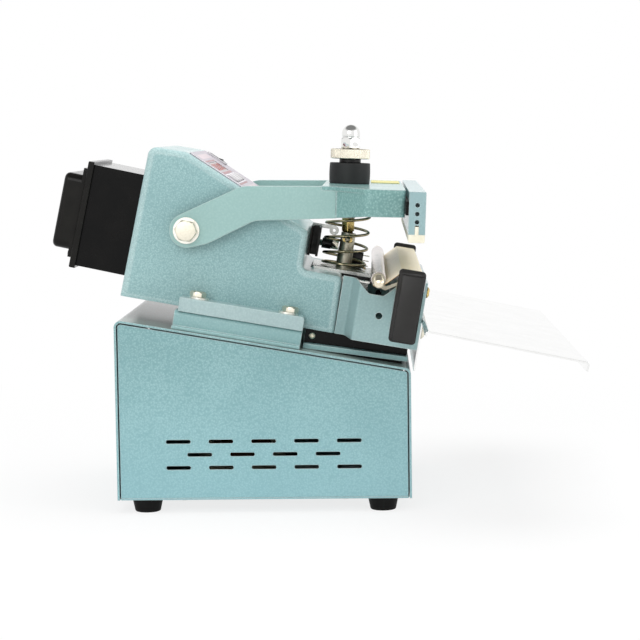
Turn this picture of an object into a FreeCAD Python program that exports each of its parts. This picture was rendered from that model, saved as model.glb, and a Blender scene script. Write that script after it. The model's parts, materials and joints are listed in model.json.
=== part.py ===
import FreeCAD, Part
import math
import os

# A tabletop bag sealer. A lower jaw with a heating band faces an upper jaw on a
# hinged arm, and an electromagnet pulls the arm down through a plunger.
# All lengths are millimetres. +X points to the user, +Z up, the origin is on the
# table under the middle of the machine.
#
# Everything above the cabinet lies on its sloping top, so most pieces are drawn
# in a sloping frame: a runs down the slope to the front, y across, b off the slope.

V = FreeCAD.Vector
ACROSS = V(0, 1, 0)
UP = V(0, 0, 1)
FORWARD = V(1, 0, 0)

# Clearances
running_gap = 0.05          # radial, a shaft that turns or slides in its hole
seat_gap = 0.1              # between two sheets that sit against each other
free_gap = 0.3              # between a moving piece and what it passes

# Attitude
tilt = 10.0                 # slope of the cabinet top, the head and the jaws
open_angle = 7.5            # how far the arm stands open at rest

# Where things stand along the slope, each from its neighbour
pivot_a = 51.0              # arm hinge
seal_b = 88.7               # plane where the jaws meet
stroke_reach = 144.5        # from the pivot to the plunger's line
throat_behind = 36.0        # from the plunger's line back to the head's front wall
head_ahead = 2.0            # from the plunger's line to the foot of the head's front
jaw_ahead = 60.5            # from the plunger's line to the middle of the jaws
roller_behind = 28.0        # from the jaws back to the cloth's roller
bracket_ahead = 17.4        # from the jaws to the front of the bracket

# Cabinet
cabinet_rear_x = -174.7
cabinet_length = 266.5
cabinet_width = 260.0
cabinet_rear_height = 164.5
cabinet_sheet = 2.0
cabinet_bend = 6.0
seam = 1.2                  # dark line round each side panel
side_recess = 0.8
side_sheet = 1.5
side_flange = 16.0
foot_height = 12.0
foot_top_radius = 14.0
foot_bottom_radius = 11.5
foot_inset_x = 26.0
foot_inset_y = 15.0
foot_screw_radius = 2.2
foot_screw_head_radius = 4.4
foot_screw_head = 3.2
case_screw_radius = 2.0
case_screw_head_radius = 4.2
case_screw_head = 2.4
case_screw_inset = 9.0
case_screw_reach = 73.0     # from the middle of the cabinet to each screw

# Cooling slots in the side panels: rows of five, four and five
slot_length = 21.6
slot_height = 2.7
slot_pitch = 38.6
slot_row_pitch = 11.9
slot_row_counts = (5, 4, 5)
slot_low_row_height = 29.3  # lowest row over the cabinet bottom

# Sockets in the back of the cabinet
inlet_y = -70.0
inlet_height = 38.0
inlet_body_width = 27.0
inlet_body_height = 19.5
inlet_flange_width = 48.0
inlet_flange_height = 23.0
inlet_flange = 2.5
inlet_depth = 20.0
inlet_wall = 1.8
inlet_recess_depth = 16.0
inlet_pin_width = 2.0
inlet_pin_height = 4.0
inlet_pin_length = 10.5
inlet_pin_pitch = 7.0
pedal_y = -20.0
pedal_radius = 7.5
pedal_flange_radius = 10.5
pedal_flange = 2.0
pedal_depth = 16.0
pedal_recess_radius = 5.5
pedal_recess = 3.0

# Transformer on the cabinet floor
transformer_x = -70.0
transformer_y = 30.0
core_length = 84.0
core_width = 46.0
core_height = 70.0
core_leg = 14.0
core_centre_leg = 28.0
coil_swell = 11.0

# Head housing, from the rear corner of its underside
head_rear_a = -1.0
head_rear_b = 19.3
head_front_b = 17.0
head_width = 196.0
head_sheet = 2.0
head_side_sheet = 2.5
head_top_b = 158.0
head_lean = 5.6
head_top_length = 34.0
head_slant_end_b = 104.3
ledge_b = 69.0
head_corner = 8.0
head_bend = 5.0
side_bend = 4.0             # round edge of the side pans
side_return = 10.0          # width of the pans' turned edge

# Control panel on the slanting face: s runs down the face from its top bend
panel_start = 2.0
panel_length = 68.0
panel_side_margin = 3.0
panel_thickness = 0.8
panel_recess = 1.2          # the panel's border stands over the display window
window_s = 20.0
window_length = 15.0
window_width = 92.0
window_y = -20.0
window_thickness = 1.6
button_count = 4
button_s = 47.0
button_pitch = 26.0
button_row_y = -20.0
button_length = 11.0
button_width = 17.0
button_corner = 2.5
button_proud = 1.6
button_travel = 1.0
button_skirt = 6.0
switch_height = 4.0
switch_size = 6.0
board_start = 8.0
board_length = 54.0
board_width = 116.0
board_thickness = 1.6
board_post_radius = 2.5
board_post_inset = 4.0
rocker_s = 17.0
rocker_y = 72.0
rocker_bezel_length = 22.0
rocker_bezel_width = 16.0
rocker_bezel = 1.8
rocker_length = 15.0
rocker_width = 10.0
rocker_swing = 12.0         # whole swing from off to on
rocker_depth = 14.0
rocker_pin_radius = 1.5

# Electrical box behind the head, measured along the head's leaning back
box_low = 15.4
box_height = 95.2
box_depth = 50.0
box_width = 122.0
box_wall = 2.5
lid_thickness = 5.8
lid_overhang = 2.4
lid_side_overhang = 3.0
lid_corner = 1.4
hood_low = 28.4
hood_height = 70.6
hood_depth = 19.8
hood_width = 120.0
hood_corner = 7.0           # seen from behind
hood_edge = 4.5             # round the rear face
hood_flange = 3.3
hood_ear = 6.8              # flange above and below the hood
box_lip = 12.0              # turned in round the mouth of the box
hood_screw_radius = 2.9
hood_screw_head = 2.0
hood_screw_hole = 1.6
hood_screw_pitch = 96.0

# Rails that carry the head over the cabinet
rail_rear_a = 52.0
rail_front_a = 169.0
rail_sheet = 3.0
rail_web_y = 118.5
rail_foot = 8.0
lug_rear_a = 55.0
lug_height = 12.7
lug_width = 22.0
bolt_rear_a = 71.7
bolt_front_a = 153.6
bolt_radius = 4.0
bolt_flats = 13.0
bolt_head = 5.3
washer_radius = 9.0
washer_thickness = 1.6
nut_height = 6.5

# Sloping plate, its rubber wedge and the black channel under the front of the machine
plate_rear_a = 171.4
plate_ahead = 1.4           # in front of the channel
plate_width = 216.0
plate_thickness = 4.5
plate_lift = 1.9            # degrees more level than the cabinet top
wedge_rear = 22.0
wedge_front = 5.0
wedge_side = 4.0
channel_rear_a = 171.6
channel_setback = 7.4       # from the front of the bracket
channel_width = 192.0
channel_sheet = 3.0
channel_screw_a = 178.0
channel_screw_radius = 3.6
channel_screw_head = 2.6

# Lower bracket, the open trough in front of the head
bracket_sheet = 2.5
bracket_neck = 9.0
bracket_flare = 7.0
bracket_width = 258.0
bracket_top_b = 70.5
bracket_front_top_b = 78.0
notch_rear = 12.9           # the notch under the roller, from the roller's axis
notch_floor_rear = 5.4
notch_floor_front = 8.1
notch_front = 19.0
notch_floor_b = 60.4
bracket_hole_behind = 21.4  # from the jaws
bracket_hole_b = 42.1
bracket_hole_radius = 3.0

# Arm hinge
pivot_bolt_radius = 6.0
pivot_bolt_flats = 18.0
pivot_bolt_head = 7.5
pivot_washer_radius = 12.0
pivot_washer = 2.5
pivot_nut = 10.0

# Lower jaw
jaw_length = 400.0
lower_jaw_width = 20.0
lower_jaw_height = 57.0
lower_jaw_wall = 3.0
lower_jaw_corner = 2.0
cloth_thickness = 0.4
band_thickness = 0.3
band_width = 4.0
band_bed = 0.6
band_bed_width = 14.0
cap_thickness = 5.6
cap_rim = 2.0
cap_overhang = 1.7
cap_stand = 3.5             # cap top over the sealing plane
cap_corner = 3.4
terminal_radius = 5.0
terminal_head = 3.6
terminal_shank_radius = 3.0
terminal_b = 68.0
terminal_y = 105.0

# Anti-stick cloth and the roller that guides it
cloth_width = 390.0
cloth_drop = 14.0           # down the front face of the jaw
clamp_height = 10.0
clamp_thickness = 2.0
roller_below = 9.5          # from the sealing plane down to the roller's axis
roll_radius = 6.4
roll_length = 380.0
roller_rod_radius = 4.2
roller_rod_length = 476.0
hanger_thickness = 2.4
hanger_ear = 5.8
hanger_end_gap = 1.0
hanger_strap = 3.3          # height of the strap from the ear to the jaw
hanger_dip = 2.4            # of the strap below the ear
hanger_bend_ahead = 7.0     # from the rod's axis to the bend in the strap
hanger_foot_rise = 1.8      # from the rod's axis up to the top of the foot
hanger_foot_height = 8.0
hanger_foot_width = 9.0
hanger_foot_sheet = 2.0

# Arm
arm_plate = 8.0
arm_width = 224.0           # over both arms
arm_end_radius = 15.6
pivot_bush_wall = 1.5
pivot_bush_flange = 6.0
arm_knee_a = 49.0
arm_knee_bend = 26.0
arm_heel_bend = 20.0
arm_top_b = 43.8
arm_knee_drop = 2.2
arm_toe_a = 19.0
arm_toe_b = -11.5
arm_heel_a = 61.3
arm_heel_b = 10.8
arm_front_behind = 10.5     # from the plunger's line to the arms' front ends
arm_front_b = 15.1

# Press beam across the front of the arms
beam_rear_behind = 23.5     # from the plunger's line
beam_flare_ahead = 16.0
beam_jaw_space = 2.6        # from the beam to the upper jaw
beam_width = 330.0
beam_top = 4.0
beam_skirt = 3.0
beam_low_b = 20.0
beam_bend = 4.0
label_ahead = 20.5          # from the plunger's line
label_length = 28.0
label_y = 46.0
label_width = 84.0
label_thickness = 0.6

# Upper jaw
upper_jaw_width = 14.6
upper_jaw_forward = 0.4     # its middle ahead of the lower jaw's
upper_jaw_low_b = 7.0
upper_jaw_groove_width = 3.4
upper_jaw_groove = 8.0
upper_jaw_hole_radius = 1.9
upper_jaw_hole_depth = 12.0
upper_jaw_hole_b = (17.9, 24.9, 32.4)
strip_gap = 0.1             # left over the cloth when the arm is fully down
strip_width = 14.2
strip_corner = 1.2
spacer_height = 12.0
spacer_b = 23.5
jaw_screw_y = (-150.0, -75.0, 0.0, 75.0, 150.0)
jaw_screw_b = 30.0
jaw_screw_radius = 3.0
jaw_screw_head_radius = 5.0
jaw_screw_head = 3.4
jaw_screw_bite = 8.0        # into the upper jaw

# Plunger with its fork, the rod end in the fork and the pressure rod
rod_radius = 6.2
spigot_radius = 4.0         # the rod's lower end, in the rod end
spigot_length = 6.0
rod_end_radius = 5.9
rod_end_low = 8.0           # from the pin up to the round part
rod_end_top = 20.0          # from the pin up to the pressure rod's shoulder
tongue = 5.0
tongue_width = 9.6
plunger_radius = 7.4
plunger_length = 40.0       # below the fork
fork_depth = 8.4            # from the pin down to the floor of the fork
fork_top = 6.4
fork_slot = 5.4
fork_pin_radius = 2.5
fork_pin_slack = 2.6        # each way along the fork's long eyes
fork_pin_fit = 0.15
fork_pin_stand = 1.2        # out of the fork on each side
bush_radius = 19.5
bush_height = 19.8
bush_round = 2.0
bush_washer_radius = 10.2
bush_washer = 3.7
knurl_radius = 18.7
knurl_height = 9.5
knurl_teeth = 40
knurl_depth = 0.8
acorn_flats = 17.8
acorn_turn = 30.0           # turns a flat of the domed nut to the front
acorn_hex = 11.5
acorn_height = 22.9

# Return spring round the plunger
spring_radius = 20.5        # to the middle of the wire
spring_wire = 2.6
spring_turns = 6.5
spring_end_turns = 1.0
spring_end_gap = 0.6

# Electromagnet
magnet_length = 52.0
magnet_width = 80.0
magnet_wall = 6.0
magnet_top_b = 62.3
magnet_floor_gap = 0.1
yoke_plate = 3.0
yoke_spacer = 3.0
yoke_overhang = 3.0
yoke_spacer_inset = 2.0
coil_wall = 1.2
coil_depth = 17.0
pole_gap = 0.5              # under the plunger when the arm is fully down

# Small pieces in the open throat
guide_width = 24.0
guide_depth = 10.0
guide_wall = 2.2
guide_height = 28.0
guide_lift = 4.0            # over the bend of the ledge
stud_y = 28.0
stud_b = 89.6
stud_radius = 3.0
stud_length = 28.0
stud_nut_flats = 8.0
stud_nut = 7.0
sleeve_radius = 5.0
sleeve_length = 9.0
anchor_sheet = 2.0
anchor_radius = 4.5
anchor_hole = 1.5
anchor_reach = 21.7         # from the head's front wall to the hole
anchor_b = 103.1
anchor_bar = 3.6
switch_ahead = 4.5          # from the plunger's line
switch_length = 19.0
switch_y = 30.0
switch_width = 10.0
switch_body_height = 12.0
lever_thickness = 0.8
lever_rise = 4.0

# Work shelf in front of the jaws
shelf_width = 480.0
shelf_sheet = 1.5
shelf_rear_b = 46.4
shelf_reach = 140.7
shelf_front_b = 42.5
shelf_lip = 8.0
shelf_flange_low_b = -3.0
shelf_flange_width = 236.0
shelf_screw_y = 80.0
shelf_screw_b = 30.0
shelf_screw_radius = 3.0
shelf_screw_head_radius = 7.0
shelf_screw_head = 5.0

# Values that follow from the ones above
cabinet_front_x = cabinet_rear_x + cabinet_length
cabinet_low_z = foot_height
cabinet_rear_z = foot_height + cabinet_rear_height
cabinet_front_z = cabinet_rear_z - cabinet_length * math.tan(math.radians(tilt))
cabinet_half = cabinet_width / 2
side_outer_y = cabinet_half - side_recess
side_inner_y = side_outer_y - side_sheet
head_half = head_width / 2
head_inner = head_half - head_side_sheet
bracket_low_b = head_front_b
bracket_half = bracket_width / 2
lug_low_b = bracket_low_b - 0.6
plunger_a = pivot_a + stroke_reach
head_front_a = plunger_a + head_ahead
head_throat_a = plunger_a - throat_behind
jaw_a = plunger_a + jaw_ahead
jaw_reach = jaw_a - pivot_a
roller_a = jaw_a - roller_behind
roller_b = seal_b - roller_below
bracket_front_a = jaw_a + bracket_ahead
channel_front_a = bracket_front_a - channel_setback
plate_length = channel_front_a + plate_ahead - plate_rear_a
shelf_rear_a = bracket_front_a + seat_gap
jaw_top_b = seal_b - cloth_thickness - band_thickness - band_bed
arm_outer = arm_width / 2
arm_inner = arm_outer - arm_plate
beam_half = beam_width / 2
jaw_half = jaw_length / 2
yoke_top_b = magnet_top_b + yoke_plate + yoke_spacer + yoke_plate
spring_seat_b = yoke_top_b
# The fork's pin starts and ends its swing on the plunger's line
pin_b = -stroke_reach * math.tan(math.radians(open_angle / 2))
plunger_stroke = (
    stroke_reach * math.sin(math.radians(open_angle))
    + pin_b * (math.cos(math.radians(open_angle)) - 1)
)
upper_jaw_rear_a = jaw_reach + upper_jaw_forward - upper_jaw_width / 2
beam_front_a = upper_jaw_rear_a - beam_jaw_space
beam_flare_a = stroke_reach + beam_flare_ahead
beam_rear_a = stroke_reach - beam_rear_behind
arm_front_a = stroke_reach - arm_front_behind

SLOPE = FreeCAD.Placement(V(cabinet_rear_x, 0, cabinet_rear_z), FreeCAD.Rotation(ACROSS, tilt))
WORLD = FreeCAD.Placement()


def nested(frame, x, z, angle):
    """A frame inside another one, moved to (x, z) and turned about the y axis."""
    return frame.multiply(FreeCAD.Placement(V(x, 0, z), FreeCAD.Rotation(ACROSS, angle)))


back_lean = math.degrees(math.atan2(head_lean, head_top_b - head_rear_b))
BACK = nested(SLOPE, head_rear_a, head_rear_b, back_lean)
ARM = nested(SLOPE, pivot_a, seal_b, -open_angle)
PLATE = nested(SLOPE, plate_rear_a, 0, -plate_lift)
slant_start_a = head_rear_a + head_lean + head_top_length
slant_angle = math.degrees(
    math.atan2(head_top_b - head_slant_end_b, head_throat_a - slant_start_a)
)
PANEL = nested(SLOPE, slant_start_a, head_top_b, slant_angle)


# Drawing helpers

def in_slope(shape, frame):
    """A shape drawn in another frame, given in the sloping one."""
    return shape.transformed(SLOPE.inverse().multiply(frame).toMatrix(), copy=True)


def corner_arc(before, here, after, radius):
    """Start, middle and end of the arc that rounds one corner."""
    back = (before - here).normalize()
    ahead = (after - here).normalize()
    half = back.getAngle(ahead) / 2
    reach = radius / math.tan(half)
    inward = (back + ahead).normalize() * (radius / math.sin(half) - radius)
    return here + back * reach, here + inward, here + ahead * reach


def outline(points):
    """Closed wire in the x-z plane through (x, z) or (x, z, corner radius) points."""
    places = [V(p[0], 0, p[1]) for p in points]
    corners = []
    for i, point in enumerate(points):
        radius = point[2] if len(point) > 2 else 0
        before = places[i - 1]
        after = places[(i + 1) % len(places)]
        if radius > 0:
            corners.append(corner_arc(before, places[i], after, radius))
        else:
            corners.append((places[i], None, places[i]))
    edges = []
    for i, (start, middle, end) in enumerate(corners):
        if middle is not None:
            edges.append(Part.Arc(start, middle, end).toShape())
        following = corners[(i + 1) % len(corners)][0]
        edges.append(Part.LineSegment(end, following).toShape())
    return Part.Wire(edges)


def shifted(points, distance, closed=True):
    """The same line moved to its left by a distance, with its corner radii kept round."""
    result = []
    count = len(points)
    for i, point in enumerate(points):
        here = V(point[0], 0, point[1])
        radius = point[2] if len(point) > 2 else 0
        first = not closed and i == 0
        last = not closed and i == count - 1
        before = V(points[i - 1][0], 0, points[i - 1][1])
        after = V(points[(i + 1) % count][0], 0, points[(i + 1) % count][1])
        arriving = (after - here).normalize() if first else (here - before).normalize()
        leaving = arriving if last else (after - here).normalize()
        left_in = V(-arriving.z, 0, arriving.x)
        left_out = V(-leaving.z, 0, leaving.x)
        bisector = (left_in + left_out).normalize()
        moved = here + bisector * (distance / bisector.dot(left_in))
        turn = arriving.x * leaving.z - arriving.z * leaving.x
        if radius > 0:
            radius = radius - distance if turn > 0 else radius + distance
        result.append((moved.x, moved.z, max(radius, 0)))
    return result


def folded(points, thickness):
    """Outline of a sheet whose one face follows an open line, thickened to its left."""
    return points + shifted(points, thickness, closed=False)[::-1]


def slab(points, y_low, y_high):
    """An x-z outline given a width along y."""
    face = Part.Face(outline(points))
    face.translate(V(0, y_low, 0))
    return face.extrude(V(0, y_high - y_low, 0))


def pad(points, z_low, z_high):
    """An x-y outline given a height along z."""
    face = Part.Face(outline(points))
    face.rotate(V(0, 0, 0), FORWARD, -90)
    face.translate(V(0, 0, z_low))
    return face.extrude(V(0, 0, z_high - z_low))


def bar(points, x_low, x_high):
    """A y-z outline given a length along x."""
    face = Part.Face(outline(points))
    face.rotate(V(0, 0, 0), UP, 90)
    face.translate(V(x_low, 0, 0))
    return face.extrude(V(x_high - x_low, 0, 0))


def rectangle(x_low, x_high, z_low, z_high, radius=0):
    return [(x_low, z_low, radius), (x_high, z_low, radius),
            (x_high, z_high, radius), (x_low, z_high, radius)]


def block(x_low, x_high, y_low, y_high, z_low, z_high):
    return Part.makeBox(x_high - x_low, y_high - y_low, z_high - z_low, V(x_low, y_low, z_low))


def rod(radius, start, end):
    """A round bar between two points."""
    line = end - start
    return Part.makeCylinder(radius, line.Length, start, line)


def prism(flats, height, turn_start=0):
    """A hexagon standing on the x-y plane, its first corner turned from the x axis."""
    corner = flats / math.sqrt(3)
    points = []
    for i in range(6):
        turn = math.radians(turn_start + 60 * i)
        points.append(V(corner * math.cos(turn), corner * math.sin(turn), 0))
    return Part.Face(Part.makePolygon(points + points[:1])).extrude(V(0, 0, height))


def hex_head(flats, height):
    """A hexagon with its upper corners turned off, as on a bolt head or nut."""
    corner = flats / math.sqrt(3) + 0.1
    flat_radius = flats / 2 * 0.95
    chamfer = (corner - flat_radius) * math.tan(math.radians(30))
    blank = turned([(0, 0), (corner, 0), (corner, height - chamfer), (flat_radius, height), (0, height)])
    return prism(flats, height).common(blank)


def turned(profile):
    """A (radius, height) profile turned round the z axis."""
    return Part.Face(outline(profile)).revolve(V(0, 0, 0), UP, 360)


def stood(shape, place, axis):
    """A shape drawn on the z axis, stood at a place with its top towards an axis."""
    moved = shape.copy()
    moved.Placement = FreeCAD.Placement(place, FreeCAD.Rotation(UP, axis))
    return moved


def mirrored(shape):
    return shape.mirror(V(0, 0, 0), ACROSS)


def both_sides(shape):
    return group([shape, mirrored(shape)])


def group(shapes):
    """Separate solids of one material kept together as one piece."""
    return Part.makeCompound([solid for shape in shapes for solid in shape.Solids])


def pan_screw(head_radius, head_height, shank_radius, shank_length):
    """Screw with its seat on the x-y plane, head up and shank down."""
    profile = [(0, -shank_length), (shank_radius, -shank_length), (shank_radius, 0),
               (head_radius, 0), (head_radius, head_height, head_height * 0.6), (0, head_height)]
    return turned(profile)


def save(name, shape, frame=WORLD):
    placed = shape.transformed(frame.toMatrix(), copy=True)
    assert placed.isValid(), name
    placed.exportStep("parts/" + name + ".step")
    print("%-22s %3d solid(s) %10.1f mm3" % (name, len(placed.Solids), placed.Volume))


# Cabinet

def cabinet_line():
    """Rear, top and front of the cabinet, as one bent sheet's outer face."""
    return [(cabinet_rear_x, cabinet_low_z), (cabinet_rear_x, cabinet_rear_z, cabinet_bend),
            (cabinet_front_x, cabinet_front_z, cabinet_bend), (cabinet_front_x, cabinet_low_z)]


def inlet_box(grow, x_low, x_high):
    middle_z = cabinet_low_z + inlet_height
    half_y = inlet_body_width / 2 + grow
    half_z = inlet_body_height / 2 + grow
    return block(x_low, x_high, inlet_y - half_y, inlet_y + half_y, middle_z - half_z, middle_z + half_z)


def pedal_centre(x):
    return V(x, pedal_y, cabinet_low_z + inlet_height)


def cabinet_shell():
    shell = slab(folded(cabinet_line(), -cabinet_sheet), -cabinet_half, cabinet_half)
    behind = cabinet_rear_x - 1
    inside = cabinet_rear_x + cabinet_sheet + 1
    shell = shell.cut(inlet_box(seat_gap, behind, inside))
    return shell.cut(rod(pedal_radius + seat_gap, pedal_centre(behind), pedal_centre(inside)))


def vent_slots():
    slots = []
    middle_x = (cabinet_rear_x + cabinet_front_x) / 2
    for row, count in enumerate(slot_row_counts):
        z = cabinet_low_z + slot_low_row_height + row * slot_row_pitch
        for i in range(count):
            x = middle_x + (i - (count - 1) / 2) * slot_pitch
            points = rectangle(x - slot_length / 2, x + slot_length / 2,
                               z - slot_height / 2, z + slot_height / 2, slot_height / 2 - 0.01)
            slots.append(slab(points, -cabinet_half, -side_inner_y + side_sheet))
    return slots


def cabinet_side():
    """Near side panel: a sheet inside the shell's edge, with a flange along its foot."""
    gap = cabinet_sheet + seam
    low = cabinet_low_z + side_sheet + seat_gap
    slope_gap = gap / math.cos(math.radians(tilt))
    rear_top = cabinet_rear_z - slope_gap - gap * math.tan(math.radians(tilt))
    front_top = cabinet_front_z - slope_gap + gap * math.tan(math.radians(tilt))
    corner = cabinet_bend - gap
    points = [(cabinet_rear_x + gap, low), (cabinet_front_x - gap, low),
              (cabinet_front_x - gap, front_top, corner), (cabinet_rear_x + gap, rear_top, corner)]
    panel = slab(points, -side_outer_y, -side_inner_y)
    flange = block(cabinet_rear_x + gap, cabinet_front_x - gap,
                   -side_inner_y, -side_inner_y + side_flange, low, low + side_sheet)
    panel = panel.fuse(flange).removeSplitter()
    return panel.cut(vent_slots() + screw_holes(low + side_sheet + 1))


def screw_holes(high):
    """Holes up to a height for the case screws and the screws of the feet."""
    holes = [rod(case_screw_radius + seat_gap, V(x, y, 0), V(x, y, high)) for x, y in case_screw_places()]
    return holes + [rod(foot_screw_radius + seat_gap, V(x, y, 0), V(x, y, high)) for x, y in foot_places()]


def bottom_plate():
    rear = cabinet_rear_x + cabinet_sheet + seat_gap
    front = cabinet_front_x - cabinet_sheet - seat_gap
    rise = cabinet_low_z + side_flange
    line = [(rear, rise), (rear, cabinet_low_z, cabinet_sheet),
            (front, cabinet_low_z, cabinet_sheet), (front, rise)]
    plate = slab(folded(line, side_sheet), -side_outer_y, side_outer_y)
    lips = block(rear - 1, front + 1, -cabinet_half, -side_inner_y + side_flange + seat_gap,
                 cabinet_low_z + side_sheet, rise + 1)
    plate = plate.cut([lips, mirrored(lips)])
    return plate.cut(screw_holes(rise))


def case_screw_places():
    middle_x = (cabinet_rear_x + cabinet_front_x) / 2
    return [(middle_x + side * case_screw_reach, across * (side_inner_y - case_screw_inset))
            for side in (-1, 1) for across in (-1, 1)]


def foot_places():
    return [(x, across * (cabinet_half - foot_inset_y))
            for x in (cabinet_rear_x + foot_inset_x, cabinet_front_x - foot_inset_x)
            for across in (-1, 1)]


def rubber_feet():
    bore = foot_screw_head_radius + 0.5
    ledge = foot_screw_head + 2.0
    profile = [(bore, 0), (foot_bottom_radius, 0, 1.5), (foot_top_radius, foot_height),
               (foot_screw_radius + seat_gap, foot_height), (foot_screw_radius + seat_gap, ledge),
               (bore, ledge)]
    foot = turned(profile)
    return Part.makeCompound([stood(foot, V(x, y, 0), UP) for x, y in foot_places()])


def foot_screws():
    ledge = foot_screw_head + 2.0
    shank = foot_height - ledge + side_sheet + 5.0
    screw = pan_screw(foot_screw_head_radius, foot_screw_head, foot_screw_radius, shank)
    return Part.makeCompound([stood(screw, V(x, y, ledge), UP * -1) for x, y in foot_places()])


def case_screws():
    screw = pan_screw(case_screw_head_radius, case_screw_head, case_screw_radius, side_sheet * 2 + 5.0)
    return Part.makeCompound([stood(screw, V(x, y, cabinet_low_z), UP * -1) for x, y in case_screw_places()])


def inlet_pin_places():
    z = cabinet_low_z + inlet_height
    return [(inlet_y - inlet_pin_pitch, z - 1.5), (inlet_y, z + 2.5), (inlet_y + inlet_pin_pitch, z - 1.5)]


def mains_inlet():
    back = cabinet_rear_x - inlet_flange
    z = cabinet_low_z + inlet_height
    flange = bar(rectangle(inlet_y - inlet_flange_width / 2, inlet_y + inlet_flange_width / 2,
                           z - inlet_flange_height / 2, z + inlet_flange_height / 2, 4.0),
                 back, cabinet_rear_x)
    body = inlet_box(0, cabinet_rear_x, cabinet_rear_x + inlet_depth)
    recess = inlet_box(-inlet_wall, back - 1, back + inlet_recess_depth)
    return flange.fuse(body).removeSplitter().cut(recess)


def inlet_pins():
    floor = cabinet_rear_x - inlet_flange + inlet_recess_depth
    half_y = inlet_pin_width / 2
    half_z = inlet_pin_height / 2
    return Part.makeCompound([block(floor - inlet_pin_length, floor, y - half_y, y + half_y,
                                    z - half_z, z + half_z) for y, z in inlet_pin_places()])


def pedal_socket():
    back = cabinet_rear_x - pedal_flange
    flange = rod(pedal_flange_radius, pedal_centre(back), pedal_centre(cabinet_rear_x))
    body = rod(pedal_radius, pedal_centre(cabinet_rear_x), pedal_centre(cabinet_rear_x + pedal_depth))
    recess = rod(pedal_recess_radius, pedal_centre(back - 1), pedal_centre(back + pedal_recess))
    return flange.fuse(body).removeSplitter().cut(recess)


def transformer_core():
    floor = cabinet_low_z + side_sheet
    x = transformer_x
    y_low = transformer_y - core_width / 2
    y_high = transformer_y + core_width / 2
    core = block(x - core_length / 2, x + core_length / 2, y_low, y_high, floor, floor + core_height)
    window_high = floor + core_height - core_leg
    for side in (-1, 1):
        inner = x + side * core_centre_leg / 2
        outer = x + side * (core_length / 2 - core_leg)
        core = core.cut(block(min(inner, outer), max(inner, outer), y_low, y_high,
                              floor + core_leg, window_high))
    return core


def transformer_coil():
    low = cabinet_low_z + side_sheet + core_leg
    high = cabinet_low_z + side_sheet + core_height - core_leg - free_gap
    reach_x = core_length / 2 - core_leg - free_gap
    reach_y = core_width / 2 + coil_swell
    x = transformer_x
    y = transformer_y
    points = rectangle(x - reach_x, x + reach_x, y - reach_y, y + reach_y, 5.0)
    leg_x = core_centre_leg / 2 + free_gap
    leg_y = core_width / 2 + free_gap
    return pad(points, low, high).cut(block(x - leg_x, x + leg_x, y - leg_y, y + leg_y, low, high))


# Plate, wedge, channel and rails on the cabinet top

def front_plate():
    points = rectangle(0, plate_length, 0, plate_thickness, 0.8)
    return slab(points, -plate_width / 2, plate_width / 2)


def plate_underside(a):
    return (a - plate_rear_a) * math.tan(math.radians(plate_lift))


def plate_surface(a):
    return plate_underside(a) + plate_thickness / math.cos(math.radians(plate_lift))


def rubber_wedge():
    rear = plate_rear_a + wedge_rear
    front = plate_rear_a + plate_length - wedge_front
    points = [(rear, seat_gap), (front, seat_gap),
              (front, plate_underside(front) - seat_gap), (rear, plate_underside(rear) - seat_gap)]
    return slab(points, -plate_width / 2 + wedge_side, plate_width / 2 - wedge_side)


def support_channel():
    """Black channel, open underneath, that stands on the plate under the head and bracket."""
    rear = channel_rear_a
    front = channel_front_a
    half = channel_width / 2
    top = bracket_low_b
    points = [(rear, plate_surface(rear) + seat_gap), (front, plate_surface(front) + seat_gap),
              (front, top), (rear, top)]
    roof = top - channel_sheet
    hollow = [(rear - 1, 0), (front + 1, 0), (front + 1, roof), (rear - 1, roof)]
    channel = slab(points, -half, half)
    channel = channel.cut(slab(hollow, -half + channel_sheet, half - channel_sheet))
    return channel.cut(rod(channel_screw_radius / 2 + seat_gap, channel_screw_seat(),
                           channel_screw_seat() + ACROSS * channel_width))


def channel_screw_seat():
    b = bracket_low_b - channel_sheet - channel_screw_radius + 1.0
    return V(channel_screw_a, -channel_width / 2, b)


def channel_screws():
    screw = pan_screw(channel_screw_radius, channel_screw_head, channel_screw_radius / 2, channel_sheet)
    return both_sides(stood(screw, channel_screw_seat(), ACROSS * -1))


def head_rail():
    """Bent rail: a flange under the head's lug, an upright web and a foot on the cabinet."""
    inner = -head_half - 1.0
    line = [(inner, lug_low_b), (-rail_web_y, lug_low_b, rail_sheet + 1.0),
            (-rail_web_y, 0, 1.0), (-rail_web_y - rail_foot, 0)]
    upper = line[:2] + [(-rail_web_y, rail_sheet)]
    web = bar(folded(upper, rail_sheet), rail_rear_a, rail_front_a)
    foot = bar(rectangle(-rail_web_y - rail_foot, -rail_web_y + rail_sheet, 0, rail_sheet, 0.8),
               rail_rear_a, rail_front_a)
    rail = web.fuse(foot).removeSplitter()
    return rail.cut(bolt_holes(bolt_radius + seat_gap))


def bolt_line_y():
    return -(head_half + lug_width / 2 - 1.2)


def bolt_holes(radius):
    y = bolt_line_y()
    return [rod(radius, V(a, y, -1), V(a, y, lug_low_b + lug_height + 1))
            for a in (bolt_rear_a, bolt_front_a)]


def head_lug():
    """Bar along the foot of the head's side, bolted down on the rail."""
    low = lug_low_b
    points = [(lug_rear_a, low), (rail_front_a, low), (rail_front_a, low + lug_height, 3.0),
              (lug_rear_a, low + lug_height, 1.0)]
    lug = slab(points, -head_half - lug_width, -head_half)
    return lug.cut(bolt_holes(bolt_radius + seat_gap))


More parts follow.
